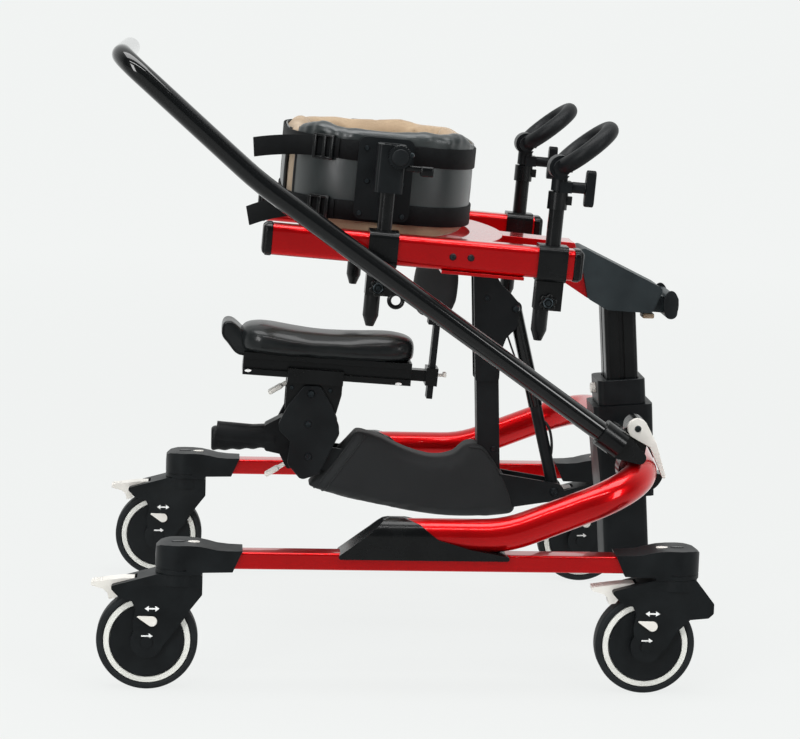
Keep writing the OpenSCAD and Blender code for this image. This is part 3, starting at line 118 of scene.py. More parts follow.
def addLamps(scene):
    for name, (place, aim, size, watts) in lamps.items():
        data = bpy.data.lights.new(name, "AREA")
        data.shape = "RECTANGLE"
        data.size, data.size_y = size
        data.energy = watts
        light = bpy.data.objects.new(name, data)
        light.location = place
        light.rotation_euler = (Vector(aim) - Vector(place)).to_track_quat("-Z", "Y").to_euler()
        light.visible_camera = False
        scene.collection.objects.link(light)


def addFloor(scene, grey):
    bm = bmesh.new()
    bmesh.ops.create_grid(bm, x_segments=1, y_segments=1, size=studio["floorHalf"])
    mesh = bpy.data.meshes.new("floor")
    bm.to_mesh(mesh)
    bm.free()
    floor = bpy.data.objects.new("floor", mesh)
    scene.collection.objects.link(floor)
    paper = bpy.data.materials.new("seamlessPaper")  # matt paper that keeps a faint shadow
    paper.use_nodes = True
    tree = paper.node_tree
    tree.nodes.clear()
    path = addNode(tree, "LightPath").outputs
    where = addNode(tree, "TexCoord").outputs["Object"]
    spread = addNode(tree, "VectorMath", [where], operation="LENGTH")
    depth = addNode(tree, "SeparateXYZ", [where])
    evened = addNode(tree, "MapRange", (spread.outputs["Value"], *studio["fall"], *studio["glow"]))
    dimmed = addNode(tree, "MapRange", (depth.outputs["Y"], *studio["mirrorDepth"], *studio["mirrored"]))
    level = addNode(tree, "Mix", {"Factor": path["Is Glossy Ray"], "A": evened.outputs[0], "B": dimmed.outputs[0]})
    glow = addNode(tree, "Emission", {"Color": grey, "Strength": level.outputs[0]})
    matt = addNode(tree, "BsdfDiffuse", {"Color": grey})
    seen = path["Is Camera Ray"]
    for ray in ("Is Glossy Ray", "Is Transmission Ray"):
        seen = addNode(tree, "Math", (seen, path[ray]), operation="MAXIMUM").outputs[0]
    seen = addNode(tree, "Math", (seen, studio["keep"]), operation="MULTIPLY").outputs[0]
    mix = addNode(tree, "MixShader", (seen, matt.outputs[0], glow.outputs[0]))
    addNode(tree, "OutputMaterial", {"Surface": mix.outputs[0]})
    mesh.materials.append(paper)


bpy.context.scene.view_settings.view_transform = "Standard"
addWorld(bpy.context.scene, hexColour(studio["backdrop"]))
addLamps(bpy.context.scene)
addFloor(bpy.context.scene, hexColour(studio["backdrop"]))
print("camera and studio set")


# finishes: each recipe gives the shader's inputs
def twoTone(tree, factor, look, low=0.3, high=0.7):
    ramp = addNode(tree, "ValToRGB", {"Fac": factor})
    for index, (place, tone) in enumerate(((low, "dark"), (high, "light"))):
        ramp.color_ramp.elements[index].position = place
        ramp.color_ramp.elements[index].color = hexColour(look[tone])
    return ramp.outputs["Color"]


def halfSum(tree, a, b):
    both = addNode(tree, "Math", (a, b), operation="ADD")
    return addNode(tree, "Math", (both.outputs[0], 0.5), operation="MULTIPLY").outputs[0]


# candy lacquer: clear colour over a bright flake base, deep at the edges and glassy on top; the flake is drawn coarse
def candyLacquer(tree, where, look):
    flake = addNode(tree, "TexVoronoi", {"Vector": where, "Scale": perMm(look["flakeMm"])})
    cloud = addNode(tree, "TexNoise", {"Vector": where, "Scale": perMm(look["cloudMm"]), "Detail": 2.0})
    tone = halfSum(tree, flake.outputs["Color"], cloud.outputs["Fac"])
    return {"Base Color": twoTone(tree, tone, look, 0.1, 0.9), "Metallic": look["metallic"], "Roughness": look["rough"],
            "IOR": 1.2, "Coat Weight": 1.0, "Coat Roughness": 0.03, "Coat IOR": look["coatIor"]}


# moulded and coated pieces: spark-eroded grain, slightly cloudy in colour and gloss; the grain is drawn coarse
def mouldedGrain(tree, where, look):
    grain = addNode(tree, "TexNoise", {"Vector": where, "Scale": perMm(look["grainMm"]), "Detail": 3.0})
    cloud = addNode(tree, "TexNoise", {"Vector": where, "Scale": perMm(look["cloudMm"]), "Detail": 4.0}).outputs["Fac"]
    rough = addNode(tree, "MapRange", (cloud, 0.3, 0.7, look["rough"] - 0.05, look["rough"] + 0.07))
    bump = addNode(tree, "Bump", {"Height": grain.outputs["Fac"], "Strength": look["bump"], "Distance": 0.0003})
    return {"Base Color": twoTone(tree, cloud, look), "Roughness": rough.outputs[0], "Normal": bump.outputs[0],
            "IOR": look["ior"], "Coat Weight": look["coat"], "Coat Roughness": 0.12, "Metallic": look["metallic"]}


# coated upholstery: pebbled vinyl skin with a soft sheen
def grainedVinyl(tree, where, look):
    pebble = addNode(tree, "TexVoronoi", {"Vector": where, "Scale": perMm(look["grainMm"])}, feature="DISTANCE_TO_EDGE")
    cloud = addNode(tree, "TexNoise", {"Vector": where, "Scale": perMm(look["cloudMm"]), "Detail": 5.0}).outputs["Fac"]
    edge = addNode(tree, "MapRange", {"Value": pebble.outputs["Distance"], "From Max": 0.25})
    height = addNode(tree, "Math", (edge.outputs[0], cloud), operation="ADD")
    bump = addNode(tree, "Bump", {"Height": height.outputs[0], "Strength": look["bump"], "Distance": 0.0004})
    rough = addNode(tree, "MapRange", (cloud, 0.3, 0.7, look["rough"] - 0.06, look["rough"] + 0.08))
    return {"Base Color": twoTone(tree, cloud, look), "Roughness": rough.outputs[0], "Normal": bump.outputs[0],
            "IOR": look["ior"], "Coat Weight": look["coat"], "Coat Roughness": look["coatRough"]}


# woven strap: close ribs across the width, a finer yarn along it, a dull sheen
def wovenWebbing(tree, where, look):
    lay = addNode(tree, "UVMap", uv_map="lay").outputs["UV"]
    ribs, yarns = (
        addNode(tree, "TexWave", {"Vector": lay, "Scale": look["waveScale"] * perMm(look[key]), "Distortion": 0.4},
                bands_direction=way).outputs["Fac"] for key, way in (("ribMm", "X"), ("yarnMm", "Y")))
    weave = addNode(tree, "Math", (ribs, yarns), operation="MULTIPLY").outputs[0]
    dust = addNode(tree, "TexNoise", {"Vector": where, "Scale": perMm(look["cloudMm"]), "Detail": 4.0})
    bump = addNode(tree, "Bump", {"Height": weave, "Strength": look["bump"], "Distance": 0.0005})
    return {"Base Color": twoTone(tree, halfSum(tree, weave, dust.outputs["Fac"]), look, 0.2, 0.8),
            "Roughness": look["rough"], "Normal": bump.outputs[0], "IOR": 1.22}


# brushed or knitted cloth: soft fibre noise with a light fuzz
def brushedCloth(tree, where, look):
    fibre = addNode(tree, "TexNoise", {"Vector": where, "Scale": perMm(look["fibreMm"]), "Detail": 6.0,
                                       "Roughness": 0.7}).outputs["Fac"]
    cloud = addNode(tree, "TexNoise", {"Vector": where, "Scale": perMm(look["cloudMm"]), "Detail": 3.0})
    bump = addNode(tree, "Bump", {"Height": fibre, "Strength": look["bump"], "Distance": 0.0006})
    return {"Base Color": twoTone(tree, halfSum(tree, fibre, cloud.outputs["Fac"]), look),
            "Roughness": look["rough"], "Normal": bump.outputs[0],
            "Sheen Weight": look["sheen"], "Sheen Roughness": 0.4}


def makeFinish(name, recipe, look):
    material = bpy.data.materials.new(name)
    material.use_nodes = True
    tree = material.node_tree
    tree.nodes.clear()
    where = addNode(tree, "TexCoord").outputs["Object"]
    shader = addNode(tree, "BsdfPrincipled", recipe(tree, where, look))
    addNode(tree, "OutputMaterial", {"Surface": shader.outputs[0]})
    return material


looks = (  # recipe, its keys, and each finish by those keys
    (candyLacquer, "dark light flakeMm cloudMm metallic rough coatIor", {
        "redLacquer": ("#b8060c", "#e00a11", 0.6, 60, 0.75, 0.3, 1.36),
        "blackLacquer": ("#08090a", "#0d0f10", 1.5, 60, 0, 0.22, 1.5)}),
    (mouldedGrain, "dark light grainMm cloudMm rough bump ior coat metallic", {
        "charcoalPowder": ("#101315", "#181c1e", 1.1, 45, 0.42, 0.12, 1.3, 0, 0),  # powder coat: dull, faint peel
        "blackNylon": ("#0d1012", "#15191b", 0.9, 35, 0.4, 0.1, 1.3, 0, 0),  # even satin
        "satinNylon": ("#22292c", "#2d3538", 0.9, 40, 0.42, 0.08, 1.35, 0, 0),  # the same in a paler grey
        "glossNylon": ("#070809", "#0e1011", 1.4, 40, 0.26, 0.05, 1.35, 0.15, 0),  # polished tool: tight gloss
        "blackAnodised": ("#090b0c", "#101314", 0.8, 50, 0.3, 0.06, 1.5, 0, 0.35),  # aluminium: dark, bright glints
        "paleAbs": ("#dcd9d2", "#ece9e3", 1.2, 30, 0.36, 0.06, 1.5, 0, 0),  # warm white with a soft gloss
        "rimNylon": ("#d9dad4", "#e6e6e0", 1.0, 30, 0.42, 0.06, 1.5, 0, 0),  # cooler white, duller
        "tyreRubber": ("#181b1d", "#222628", 0.9, 25, 0.55, 0.12, 1.3, 0, 0),  # matt, with a grey bloom
        "gripRubber": ("#0b0d0f", "#121517", 0.8, 20, 0.46, 0.14, 1.3, 0, 0),  # darker and pebbled
        "screwSteel": ("#2c3235", "#485054", 0.7, 6, 0.3, 0.04, 1.5, 0, 0.9),  # blackened steel: sharp glints
        "whitePrint": ("#e9ebea", "#f6f7f6", 1.0, 8, 0.5, 0.03, 1.5, 0, 0),  # screen ink: flat white
        "tanPlastic": ("#a08a72", "#b39d84", 1.0, 8, 0.45, 0.05, 1.5, 0, 0)}),  # flat tan
    (grainedVinyl, "dark light grainMm cloudMm rough bump ior coat coatRough", {
        "saddleVinyl": ("#0f1213", "#161a1b", 1.6, 60, 0.38, 0.04, 1.3, 0.35, 0.16),
        "chestVinyl": ("#222728", "#2e3434", 1.4, 50, 0.36, 0.1, 1.48, 0.25, 0.28)}),
    (brushedCloth, "dark light fibreMm cloudMm rough bump sheen", {
        "tanLining": ("#8f7a62", "#b39c80", 1.6, 35, 0.85, 0.35, 0.25),
        "neoprene": ("#101315", "#181c1e", 1.2, 40, 0.72, 0.25, 0.08),
        "bindingTape": ("#0c0e10", "#171b1d", 1.0, 20, 0.6, 0.3, 0.05)}),
    (wovenWebbing, "dark light ribMm yarnMm cloudMm rough bump waveScale", {  # a wave of scale 1 repeats every 0.3142
        "webbing": ("#070809", "#121517", 1.7, 1.1, 20, 0.6, 0.5, 0.3142)}))
finishes = {name: makeFinish(name, recipe, dict(zip(keys.split(), row)))
            for recipe, keys, rows in looks for name, row in rows.items()}
print("finishes made:", len(finishes))


# pieces: each goes with a frame node's body, and may stand for that node
def finishPiece(bm, name, node, finish, stands=False, bevelMm=0.0, sharp=35.0):
    for face in bm.faces:
        face.smooth = True
    for edge in bm.edges:
        edge.smooth = len(edge.link_faces) == 2 and edge.calc_face_angle(0.0) < math.radians(sharp)
    mesh = bpy.data.meshes.new(name)
    bm.to_mesh(mesh)
    bm.free()
    mesh.materials.append(finishes[finish])
    piece = bpy.data.objects.new(name, mesh)
    bpy.context.scene.collection.objects.link(piece)
    if bevelMm:
        soft = piece.modifiers.new("softEdges", "BEVEL")
        soft.width = bevelMm / 1000
        soft.segments = 2
        soft.limit_method = "ANGLE"
        soft.angle_limit = math.radians(sharp)
        soft.use_clamp_overlap = True
        soft.harden_normals = True
    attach(piece, bodyOf[node])
    if stands:
        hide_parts(node)
    return piece


def meshCopy(node):  # a merged copy of a frame node, flat faces joined
    bm = bmesh.new()
    bm.from_mesh(frame["nodes"][node].data)
    bmesh.ops.remove_doubles(bm, verts=bm.verts, dist=2e-6)
    bmesh.ops.dissolve_limit(bm, angle_limit=math.radians(0.5), verts=bm.verts, edges=bm.edges)
    return bm


corners = ("rear_right", "rear_left", "front_right", "front_left")
rigidLooks = {  # node: finish, edge softening in mm
    "base_rails": ("redLacquer", 0.0), "upper_rails": ("redLacquer", 0.0),
    "frame_yoke": ("redLacquer", 2.0), "rail_fairings": ("glossNylon", 1.5),
    "rear_caster_housings": ("blackNylon", 1.6), "front_caster_housings": ("blackNylon", 1.6),
    "column_sleeve": ("blackNylon", 1.2), "column_collar": ("blackNylon", 1.2), "collar_button": ("paleAbs", 1.0),
    "guide_claw": ("glossNylon", 1.2), "guide_cam_lever": ("paleAbs", 1.5),
    "mast": ("blackAnodised", 0.4), "nose_cover": ("satinNylon", 3.0), "rail_end_caps": ("glossNylon", 4.0),
    "chest_supports": ("glossNylon", 1.0), "chest_mounts": ("blackNylon", 1.6),
    "saddle_post": ("charcoalPowder", 1.2), "gas_spring_tube": ("blackLacquer", 0.8),
    "gas_spring_rod": ("charcoalPowder", 0.8), "saddle_arm": ("charcoalPowder", 0.8),
    "tilt_plates": ("charcoalPowder", 1.2), "grip_handle": ("gripRubber", 2.0),
    "saddle_carriage": ("blackAnodised", 0.8), "pommel_bar": ("charcoalPowder", 0.8),
}
casterLooks = {"_fork": ("blackNylon", 2.0), "_wheel": ("rimNylon", 0.6), "_tyre": ("tyreRubber", 0.0),
               "_brake_pedal": ("paleAbs", 1.2), "_selector": ("paleAbs", 0.7)}
handholdLooks = {"_clamp": ("glossNylon", 1.0), "_stem": ("blackNylon", 1.2), "_loop": ("gripRubber", 0.0),
                 "_wing_knob": ("blackNylon", 2.0)}
for owners, ownLooks in ((corners, casterLooks), (("right_handhold", "left_handhold"), handholdLooks)):
    rigidLooks.update({owner + part: look for owner in owners for part, look in ownLooks.items()})
for node, (finish, softening) in rigidLooks.items():
    finishPiece(meshCopy(node), node + "_body", node, finish, True, softening)
print("rigid pieces dressed:", len(rigidLooks))


# modelling helpers
def leaning(x, z, degrees):  # one of the part's own leaning frames, in metres
    return Matrix.Translation((x, 0, z)) @ Matrix.Rotation(math.radians(degrees), 4, "Y")


upperFrame = leaning(0.0180011, 0.540, 3.9)
saddleFrame = leaning(-0.109899, 0.3268, 3.2)
mastFrame = leaning(0.334, 0, -4.5)


def growRow(bm, edges):  # extrude a row of edges, and say which new vertex came from which
    old = {v for e in edges for v in e.verts}
    grown = bmesh.ops.extrude_edge_only(bm, edges=edges)["geom"]
    fresh = {g for g in grown if isinstance(g, bmesh.types.BMVert)}
    pairs = {v: e.other_vert(v) for v in old for e in v.link_edges if e.other_vert(v) in fresh}
    row = [g for g in grown if isinstance(g, bmesh.types.BMEdge) and g.verts[0] in fresh and g.verts[1] in fresh]
    return row, pairs


def sweepRows(rows, looped=False, lay=None):  # a closed section carried through its places by extrusion
    bm = bmesh.new()
    mark = bm.verts.layers.float_vector.new("lay") if lay else None
    line = [bm.verts.new(p) for p in rows[0]]
    first = edges = [bm.edges.new((line[i], line[(i + 1) % len(line)])) for i in range(len(line))]
    for index, row in enumerate(rows):
        if index:
            edges, pairs = growRow(bm, edges)
            line = [pairs[v] for v in line]
        for place, (vert, point) in enumerate(zip(line, row)):
            vert.co = point
            if lay:
                vert[mark] = lay[index][place]
    if lay:  # the lay of the cloth, along and across, as its own map
        sheet = bm.loops.layers.uv.new("lay")
        for face in bm.faces:
            for loop in face.loops:
                loop[sheet].uv = loop.vert[mark][:2]
    if looped:
        bmesh.ops.remove_doubles(bm, verts=bm.verts, dist=1e-6)
    else:
        bmesh.ops.holes_fill(bm, edges=first + edges, sides=0)
    bmesh.ops.recalc_face_normals(bm, faces=bm.faces)
    return bm


def addTube(bm, path, radius, sides, bends=None, stepDeg=4.0):  # extrude the runs and spin the bends
    points = [Vector(p) for p in path]
    bends = bends or [0.0] * len(points)
    way = (points[1] - points[0]).normalized()
    verts = bmesh.ops.create_circle(bm, segments=sides, radius=radius)["verts"]
    start = way.to_track_quat("Z", "Y").to_matrix().to_4x4()
    start.translation = points[0]
    bmesh.ops.transform(bm, matrix=start, verts=verts)
    first = edges = list({e for v in verts for e in v.link_edges})
    at = points[0]
    for i in range(1, len(points)):
        way = (points[i] - points[i - 1]).normalized()
        last = i == len(points) - 1
        turn = 0.0 if last else way.angle((points[i + 1] - points[i]).normalized())
        stop = points[i] - way * (0.0 if last else bends[i] * math.tan(turn / 2))
        edges, pairs = growRow(bm, edges)
        bmesh.ops.translate(bm, vec=stop - at, verts=list(pairs.values()))
        at = stop
        if turn > 1e-4:
            axis = way.cross(points[i + 1] - points[i]).normalized()
            middle = stop + axis.cross(way) * bends[i]
            ring = list({v for e in edges for v in e.verts})
            spun = bmesh.ops.spin(bm, geom=ring + edges, cent=middle, axis=axis, angle=turn,
                                  steps=max(3, round(math.degrees(turn) / stepDeg)))["geom_last"]
            edges = [g for g in spun if isinstance(g, bmesh.types.BMEdge)]
            at = middle + Matrix.Rotation(turn, 3, axis) @ (stop - middle)
    bmesh.ops.holes_fill(bm, edges=first + edges, sides=0)
    bmesh.ops.recalc_face_normals(bm, faces=bm.faces)


def smoothLine(points, parts):  # a soft line through a few places
    spots = [Vector(p) for p in points]
    line = []
    for i in range(len(spots) - 1):
        before = spots[max(i - 1, 0)]
        after = spots[min(i + 2, len(spots) - 1)]
        a, b = spots[i], spots[i + 1]
        for k in range(parts):
            t = k / parts
            line.append(0.5 * (2 * a + (b - before) * t + (2 * before - 5 * a + 4 * b - after) * t * t
                               + (3 * a - before - 3 * b + after) * t ** 3))
    return line + [spots[-1]]


def roundEdges(bm, verts, edges, edgeMm):  # round edges over, and give all the vertices after it
    made = bmesh.ops.bevel(bm, geom=edges, offset=edgeMm / 1000, offset_type="OFFSET", affect="EDGES", segments=3,
                           profile=0.5, material=-1)
    return list({v for f in made["faces"] for v in f.verts} | {v for v in verts if v.is_valid})


def addBlock(bm, size, at, edgeMm, place=Matrix()):  # a box with its edges rounded over
    verts = bmesh.ops.create_cube(bm, size=1.0)["verts"]
    bmesh.ops.scale(bm, vec=size, verts=verts)
    verts = roundEdges(bm, verts, list({e for v in verts for e in v.link_edges}), edgeMm)
    bmesh.ops.transform(bm, matrix=place @ Matrix.Translation(at), verts=verts)


def blockPiece(name, node, finish, blocks, place):  # a small piece of blocks, each with its size, middle and edge
    bm = bmesh.new()
    for size, at, edgeMm in blocks:
        addBlock(bm, size, at, edgeMm, place)
    finishPiece(bm, name, node, finish)


def raiseFaces(bm, faces, vec):  # give flat faces their thickness
    grown = bmesh.ops.extrude_face_region(bm, geom=faces)["geom"]
    bmesh.ops.translate(bm, vec=vec, verts=[g for g in grown if isinstance(g, bmesh.types.BMVert)])
    bmesh.ops.recalc_face_normals(bm, faces=bm.faces)


def addPlate(bm, outline, vec):
    raiseFaces(bm, [bm.faces.new([bm.verts.new(p) for p in outline])], vec)


def addSubdivision(piece, level=1):
    soft = piece.modifiers.new("smooth", "SUBSURF")
    soft.levels = soft.render_levels = level


def applyModifiers(piece):
    shaped = bpy.data.meshes.new_from_object(piece.evaluated_get(bpy.context.evaluated_depsgraph_get()))
    old = piece.data
    piece.modifiers.clear()
    piece.data = shaped
    bpy.data.meshes.remove(old)


def evenSkin(piece, turns):
    bm = bmesh.new()
    bm.from_mesh(piece.data)
    for turn in range(turns):
        bmesh.ops.smooth_vert(bm, verts=bm.verts, factor=0.5, use_axis_x=True, use_axis_y=True, use_axis_z=True)
    bm.to_mesh(piece.data)
    bm.free()


# stuffed pieces: an even skin, blown up by a little pressure, with a cap on how far it may go
stuffing = {"quality": 5, "mass": 0.3, "tension_stiffness": 15, "compression_stiffness": 15, "bending_stiffness": 0.8,
            "use_pressure": True}


def puff(piece, voxelMm, pressure, capMm, calm=0, steps=20):
    skin = piece.modifiers.new("skin", "REMESH")
    skin.mode = "VOXEL"
    skin.voxel_size = voxelMm / 1000
    applyModifiers(piece)
    evenSkin(piece, 3)
    rest = [v.co.copy() for v in piece.data.vertices]
    cloth = piece.modifiers.new("fill", "CLOTH")
    for name, value in stuffing.items():
        setattr(cloth.settings, name, value)
    cloth.settings.uniform_pressure_force = pressure
    cloth.settings.effector_weights.gravity = 0
    cloth.point_cache.frame_start = 1
    cloth.point_cache.frame_end = steps
    for frameNow in range(1, steps + 1):
        bpy.context.scene.frame_set(frameNow)
    blown = piece.evaluated_get(bpy.context.evaluated_depsgraph_get()).to_mesh()
    places = [v.co.copy() for v in blown.vertices]
    piece.modifiers.clear()
    for vert, a, b in zip(piece.data.vertices, rest, places):
        move = b - a
        vert.co = a + move * min(1.0, capMm / 1000 / max(move.length, 1e-9))
    bpy.context.scene.frame_set(1)
    evenSkin(piece, calm)
    for face in piece.data.polygons:
        face.use_smooth = True
    addSubdivision(piece)


# bent tubes: the two hoops and the guide bar
hoop = {"path": ((-0.014, -0.3, 0.19655), (0.124, -0.3, 0.19655), (0.298, -0.3, 0.26455), (0.3124, -0.034, 0.27455)),
        "bends": (0, 0.16, 0.085, 0), "radius": 0.0212}
guide = {"path": ((0.2647, -0.268, 0.3093), (-0.1899, -0.268, 0.6277), (-0.3577, -0.268, 0.7761),
                  (-0.3577, 0.032, 0.7761)), "bends": (0, 0.42, 0.034, 0), "radius": 0.0129}
bm = bmesh.new()
for flip in (1, -1):
    addTube(bm, [(x, y * flip, z) for x, y, z in hoop["path"]], hoop["radius"], 48, hoop["bends"])
finishPiece(bm, "hoop_tubes_lacquered", "hoop_tubes", "redLacquer", True)
bm = bmesh.new()
addTube(bm, guide["path"], guide["radius"], 40, guide["bends"])
finishPiece(bm, "guide_bar_lacquered", "guide_bar", "blackLacquer", True, 2.0, 50)

# guide tube under the column, open below, round the mast's travel
guideTube = {"low": 0.100, "high": 0.199, "corner": 0.006, "outer": (0.061, 0.068, -0.0045),
             "inner": (0.0465, 0.0595, 0.0)}  # length, width and middle


def guideRow(wall, rise):  # a rectangle with round corners, at one end of the tube
    (length, width, middle), corner = guideTube[wall], guideTube["corner"]
    row = []
    for quarter, (a, b) in enumerate(((1, 1), (-1, 1), (-1, -1), (1, -1))):
        for step in range(5):
            turn = math.radians(90 * quarter + 22.5 * step)
            row.append(mastFrame @ Vector((middle + a * (length / 2 - corner) + corner * math.cos(turn),
                                           b * (width / 2 - corner) + corner * math.sin(turn), guideTube[rise])))
    return row


wallRound = (("outer", "low"), ("outer", "high"), ("inner", "high"), ("inner", "low"), ("outer", "low"))
finishPiece(sweepRows([guideRow(wall, rise) for wall, rise in wallRound], looped=True), "column_guide_tube",
            "column_sleeve", "charcoalPowder", bevelMm=1.0)
print("tubes bent")

# chest ring: padded wall, vinyl cover with a rolled top, bindings and webbing
chest = {"middle": -0.055, "halfLength": 0.119, "halfWidth": 0.174, "low": 0.016, "corner": 0.62,
         "coverEnd": 147, "backEnd": 166, "crest": 120.0, "nearRise": 5.5, "farRise": 6.0, "sagMm": 11.0,
         "darts": (35, 145, -35, -145), "dartMm": 6.0, "dartDeg": 2.0, "innerMm": -23.5,
         "crestWaves": ((5, 1.6, 0.4), (9, 1.1, 1.9), (14, 0.8, 0.7)),
         "rollWaves": ((17, 0.7, 0.2), (29, 0.6, 1.3), (43, 0.45, 2.2)),
         "wallWaves": ((4, 1.5, 1.0), (7, 1.2, 0.3), (11, 0.8, 2.0)),
         "coverOut": ((2.2, 11), (3.9, 13), (4.1, 25), (4.8, 58), (4.2, 88)),  # out from the ring and up, in mm
         "coverIn": ((0.3, 88), (0.4, 58), (0.3, 25), (0.4, 13)),
         "plainRim": ((3.8, 103), (3.9, 107), (3.9, 110.5), (3.7, 113), (3.2, 114.6), (2.4, 115.2), (1.6, 115),
                      (1.0, 114), (0.8, 111), (0.7, 107), (0.5, 103)),
         "binding": ((3.0, 12), (3.6, 30), (4.2, 58), (3.6, 90), (3.0, 106)), "bindingTop": (1.0, 115, 6),
         "bindingRadius": 0.0021}


def ringPoint(turn, outMm, riseMm):
    c, s = math.cos(turn), math.sin(turn)
    u = chest["middle"] + math.copysign(abs(c) ** chest["corner"], c) * (chest["halfLength"] + outMm / 1000)
    v = math.copysign(abs(s) ** chest["corner"], s) * (chest["halfWidth"] + outMm / 1000)
    return upperFrame @ Vector((u, v, chest["low"] + riseMm / 1000))


def evenTurns(fromDeg, toDeg, count, fine=4000):  # turns at even steps along the ring
    dense = [math.radians(fromDeg + (toDeg - fromDeg) * i / fine) for i in range(fine + 1)]
    run = [0.0]
    for a, b in zip(dense, dense[1:]):
        run.append(run[-1] + (ringPoint(b, 0, 0) - ringPoint(a, 0, 0)).length)
    turns, j = [], 0
    for k in range(count + 1):
        while run[j] < run[-1] * k / count - 1e-9:
            j += 1
        turns.append(dense[j])
    return turns


def waves(turn, which):  # gathered cloth: a few fixed waves round the ring
    return sum(size * math.sin(count * turn + shift) for count, size, shift in chest[which])


def rolled(turn):  # the cover rolls over the rim on the near side only
    share = min(max((-math.sin(turn) - 0.25) / 0.45, 0.0), 1.0)
    return share * share * (3 - 2 * share)


def liningSection(turn):
    dart = sum(math.exp(-((math.degrees(turn) - at + 180) % 360 - 180) ** 2 / chest["dartDeg"] ** 2)
               for at in chest["darts"]) * chest["dartMm"]
    wall = waves(turn, "wallWaves")
    near = rolled(turn)
    far = max(math.sin(turn), 0.0) ** 0.6 * (0.65 + 0.35 * math.cos(turn))
    top = chest["crest"] + waves(turn, "crestWaves") + 2.5 * near + chest["farRise"] * far
    inner = chest["innerMm"] + dart
    sag = chest["sagMm"] * abs(math.sin(turn)) ** 3 * (1 - 0.5 * math.cos(turn))
    places = [(-3, 3 - 0.8 * sag), (-12, -1 - sag), (-20.5, 2.5 - 0.7 * sag), (inner, 16), (inner - 1.0 + wall, 40),
              (inner - 1.5 + wall, 64), (inner - 1.0 + wall * 0.6, 90), (inner, top - 9),
              (-20 + dart * 0.6, top - 3), (-14, top + 0.5), (-8, top), (-2 - 2 * near, top - 4 - 2 * near),
              (-1 - 1.5 * near, 108), (-2, 92), (-2, 60), (-2, 22)]
    return [ringPoint(turn, out, rise) for out, rise in places]


def coverSection(turn):
    near = rolled(turn)
    roll = waves(turn, "rollWaves")
    top = chest["crest"] + chest["nearRise"] * near + waves(turn, "crestWaves")
    curled = [(3.8, top - 13), (5.4 + roll, top - 8.5), (4.6 + roll, top - 3), (0.5 + 0.5 * roll, top + 1.5),
              (-5, top + 3 + 0.6 * roll), (-10.5, top + 2 + 0.4 * roll), (-14.5, top - 2.5), (-12.8, top - 4),
              (-8, top - 0.5), (-3, top - 2), (0.2, top - 14)]
    rim = [(a * near + c * (1 - near), b * near + d * (1 - near)) for (a, b), (c, d) in zip(curled, chest["plainRim"])]
    return [ringPoint(turn, out, rise) for out, rise in (*chest["coverOut"], *rim, *chest["coverIn"])]


bm = sweepRows([liningSection(t) for t in evenTurns(-180, 180, 200)], looped=True)
puff(finishPiece(bm, "chest_lining_pad", "chest_lining", "tanLining", True), 4.5, 3.0, 3.0)
coverRuns = {"front": (-chest["coverEnd"], chest["coverEnd"], 230),
             "back": (chest["backEnd"], 360 - chest["backEnd"], 60)}
for name, run in coverRuns.items():
    bm = sweepRows([coverSection(t) for t in evenTurns(*run)])
    cover = finishPiece(bm, "chest_cover_" + name, "chest_shell", "chestVinyl", True)
    addSubdivision(cover)
bm = bmesh.new()
for degrees in (chest["coverEnd"], -chest["coverEnd"], chest["backEnd"], -chest["backEnd"]):
    turn = math.radians(degrees)
    out, rise, roll = chest["bindingTop"]
    edge = (*chest["binding"], (out, rise + roll * rolled(turn)))
    addTube(bm, smoothLine([ringPoint(turn, *place) for place in edge], 5), chest["bindingRadius"], 10)
finishPiece(bm, "chest_cover_bindings", "chest_straps", "bindingTape")

upright = (upperFrame.to_3x3() @ Vector((0, 0, 1))).normalized()
strap = {"half": 12.5, "thick": 2.3, "outMm": 4.5, "edge": (0.4, 0.5)}
loops = {"high": {"rise": 102.0, "dip": 2.5, "droop": 0.013}, "low": {"rise": 24.0, "dip": 0.0, "droop": 0.025}}
tailOff = {"under": (-107, -112, -117), "leave": -122, "reachMm": (24, 50, 76, 98), "outMm": 7.0, "swing": 0.006}
buckle = {"turn": -117, "wide": 0.029, "tall": 0.028, "bar": 0.0048, "outMm": 6.6, "bars": (-0.5, -0.06, 0.5),
          "rail": 0.0036, "barDeep": (0.0062, 0.0036), "railDeep": (0.0055, 0.0033), "edgeMm": 1.2}


def weaveStrap(places, looped=False):  # webbing through its places, each a middle, a way out and a way up
    t, h = strap["thick"], strap["half"]
    a, b = strap["edge"]
    flat = [(a, -h), (0, b - h), (0, 0), (0, h - b), (a, h), (t - a, h), (t, h - b), (t, 0), (t, b - h), (t - a, -h)]
    rows = [[middle + outward * (deep / 1000) + up * (across / 1000) for deep, across in flat]
            for middle, outward, up in places]
    run, lay = 0.0, []  # length along the webbing, then its place across
    for i, row in enumerate(rows):
        run += (row[0] - rows[i - 1][0]).length if i else 0.0
        lay.append([(run, across / 1000, 0.0) for deep, across in flat])
    return sweepRows(rows, looped, lay)


def strapRise(look, turn):
    return look["rise"] - look["dip"] * (1 + math.cos(turn))


def loopPlaces(look):
    for turn in evenTurns(-180, 180, 220):
        a, b = (ringPoint(turn, strap["outMm"] + more, strapRise(look, turn)) for more in (0, 1))
        yield a, (b - a).normalized(), upright


def tailPlaces(points):
    line = smoothLine(points, 8)
    for i, spot in enumerate(line):
        way = (line[min(i + 1, len(line) - 1)] - line[max(i - 1, 0)]).normalized()
        rise = (upright - way * upright.dot(way)).normalized()
        yield spot, rise.cross(way).normalized(), rise


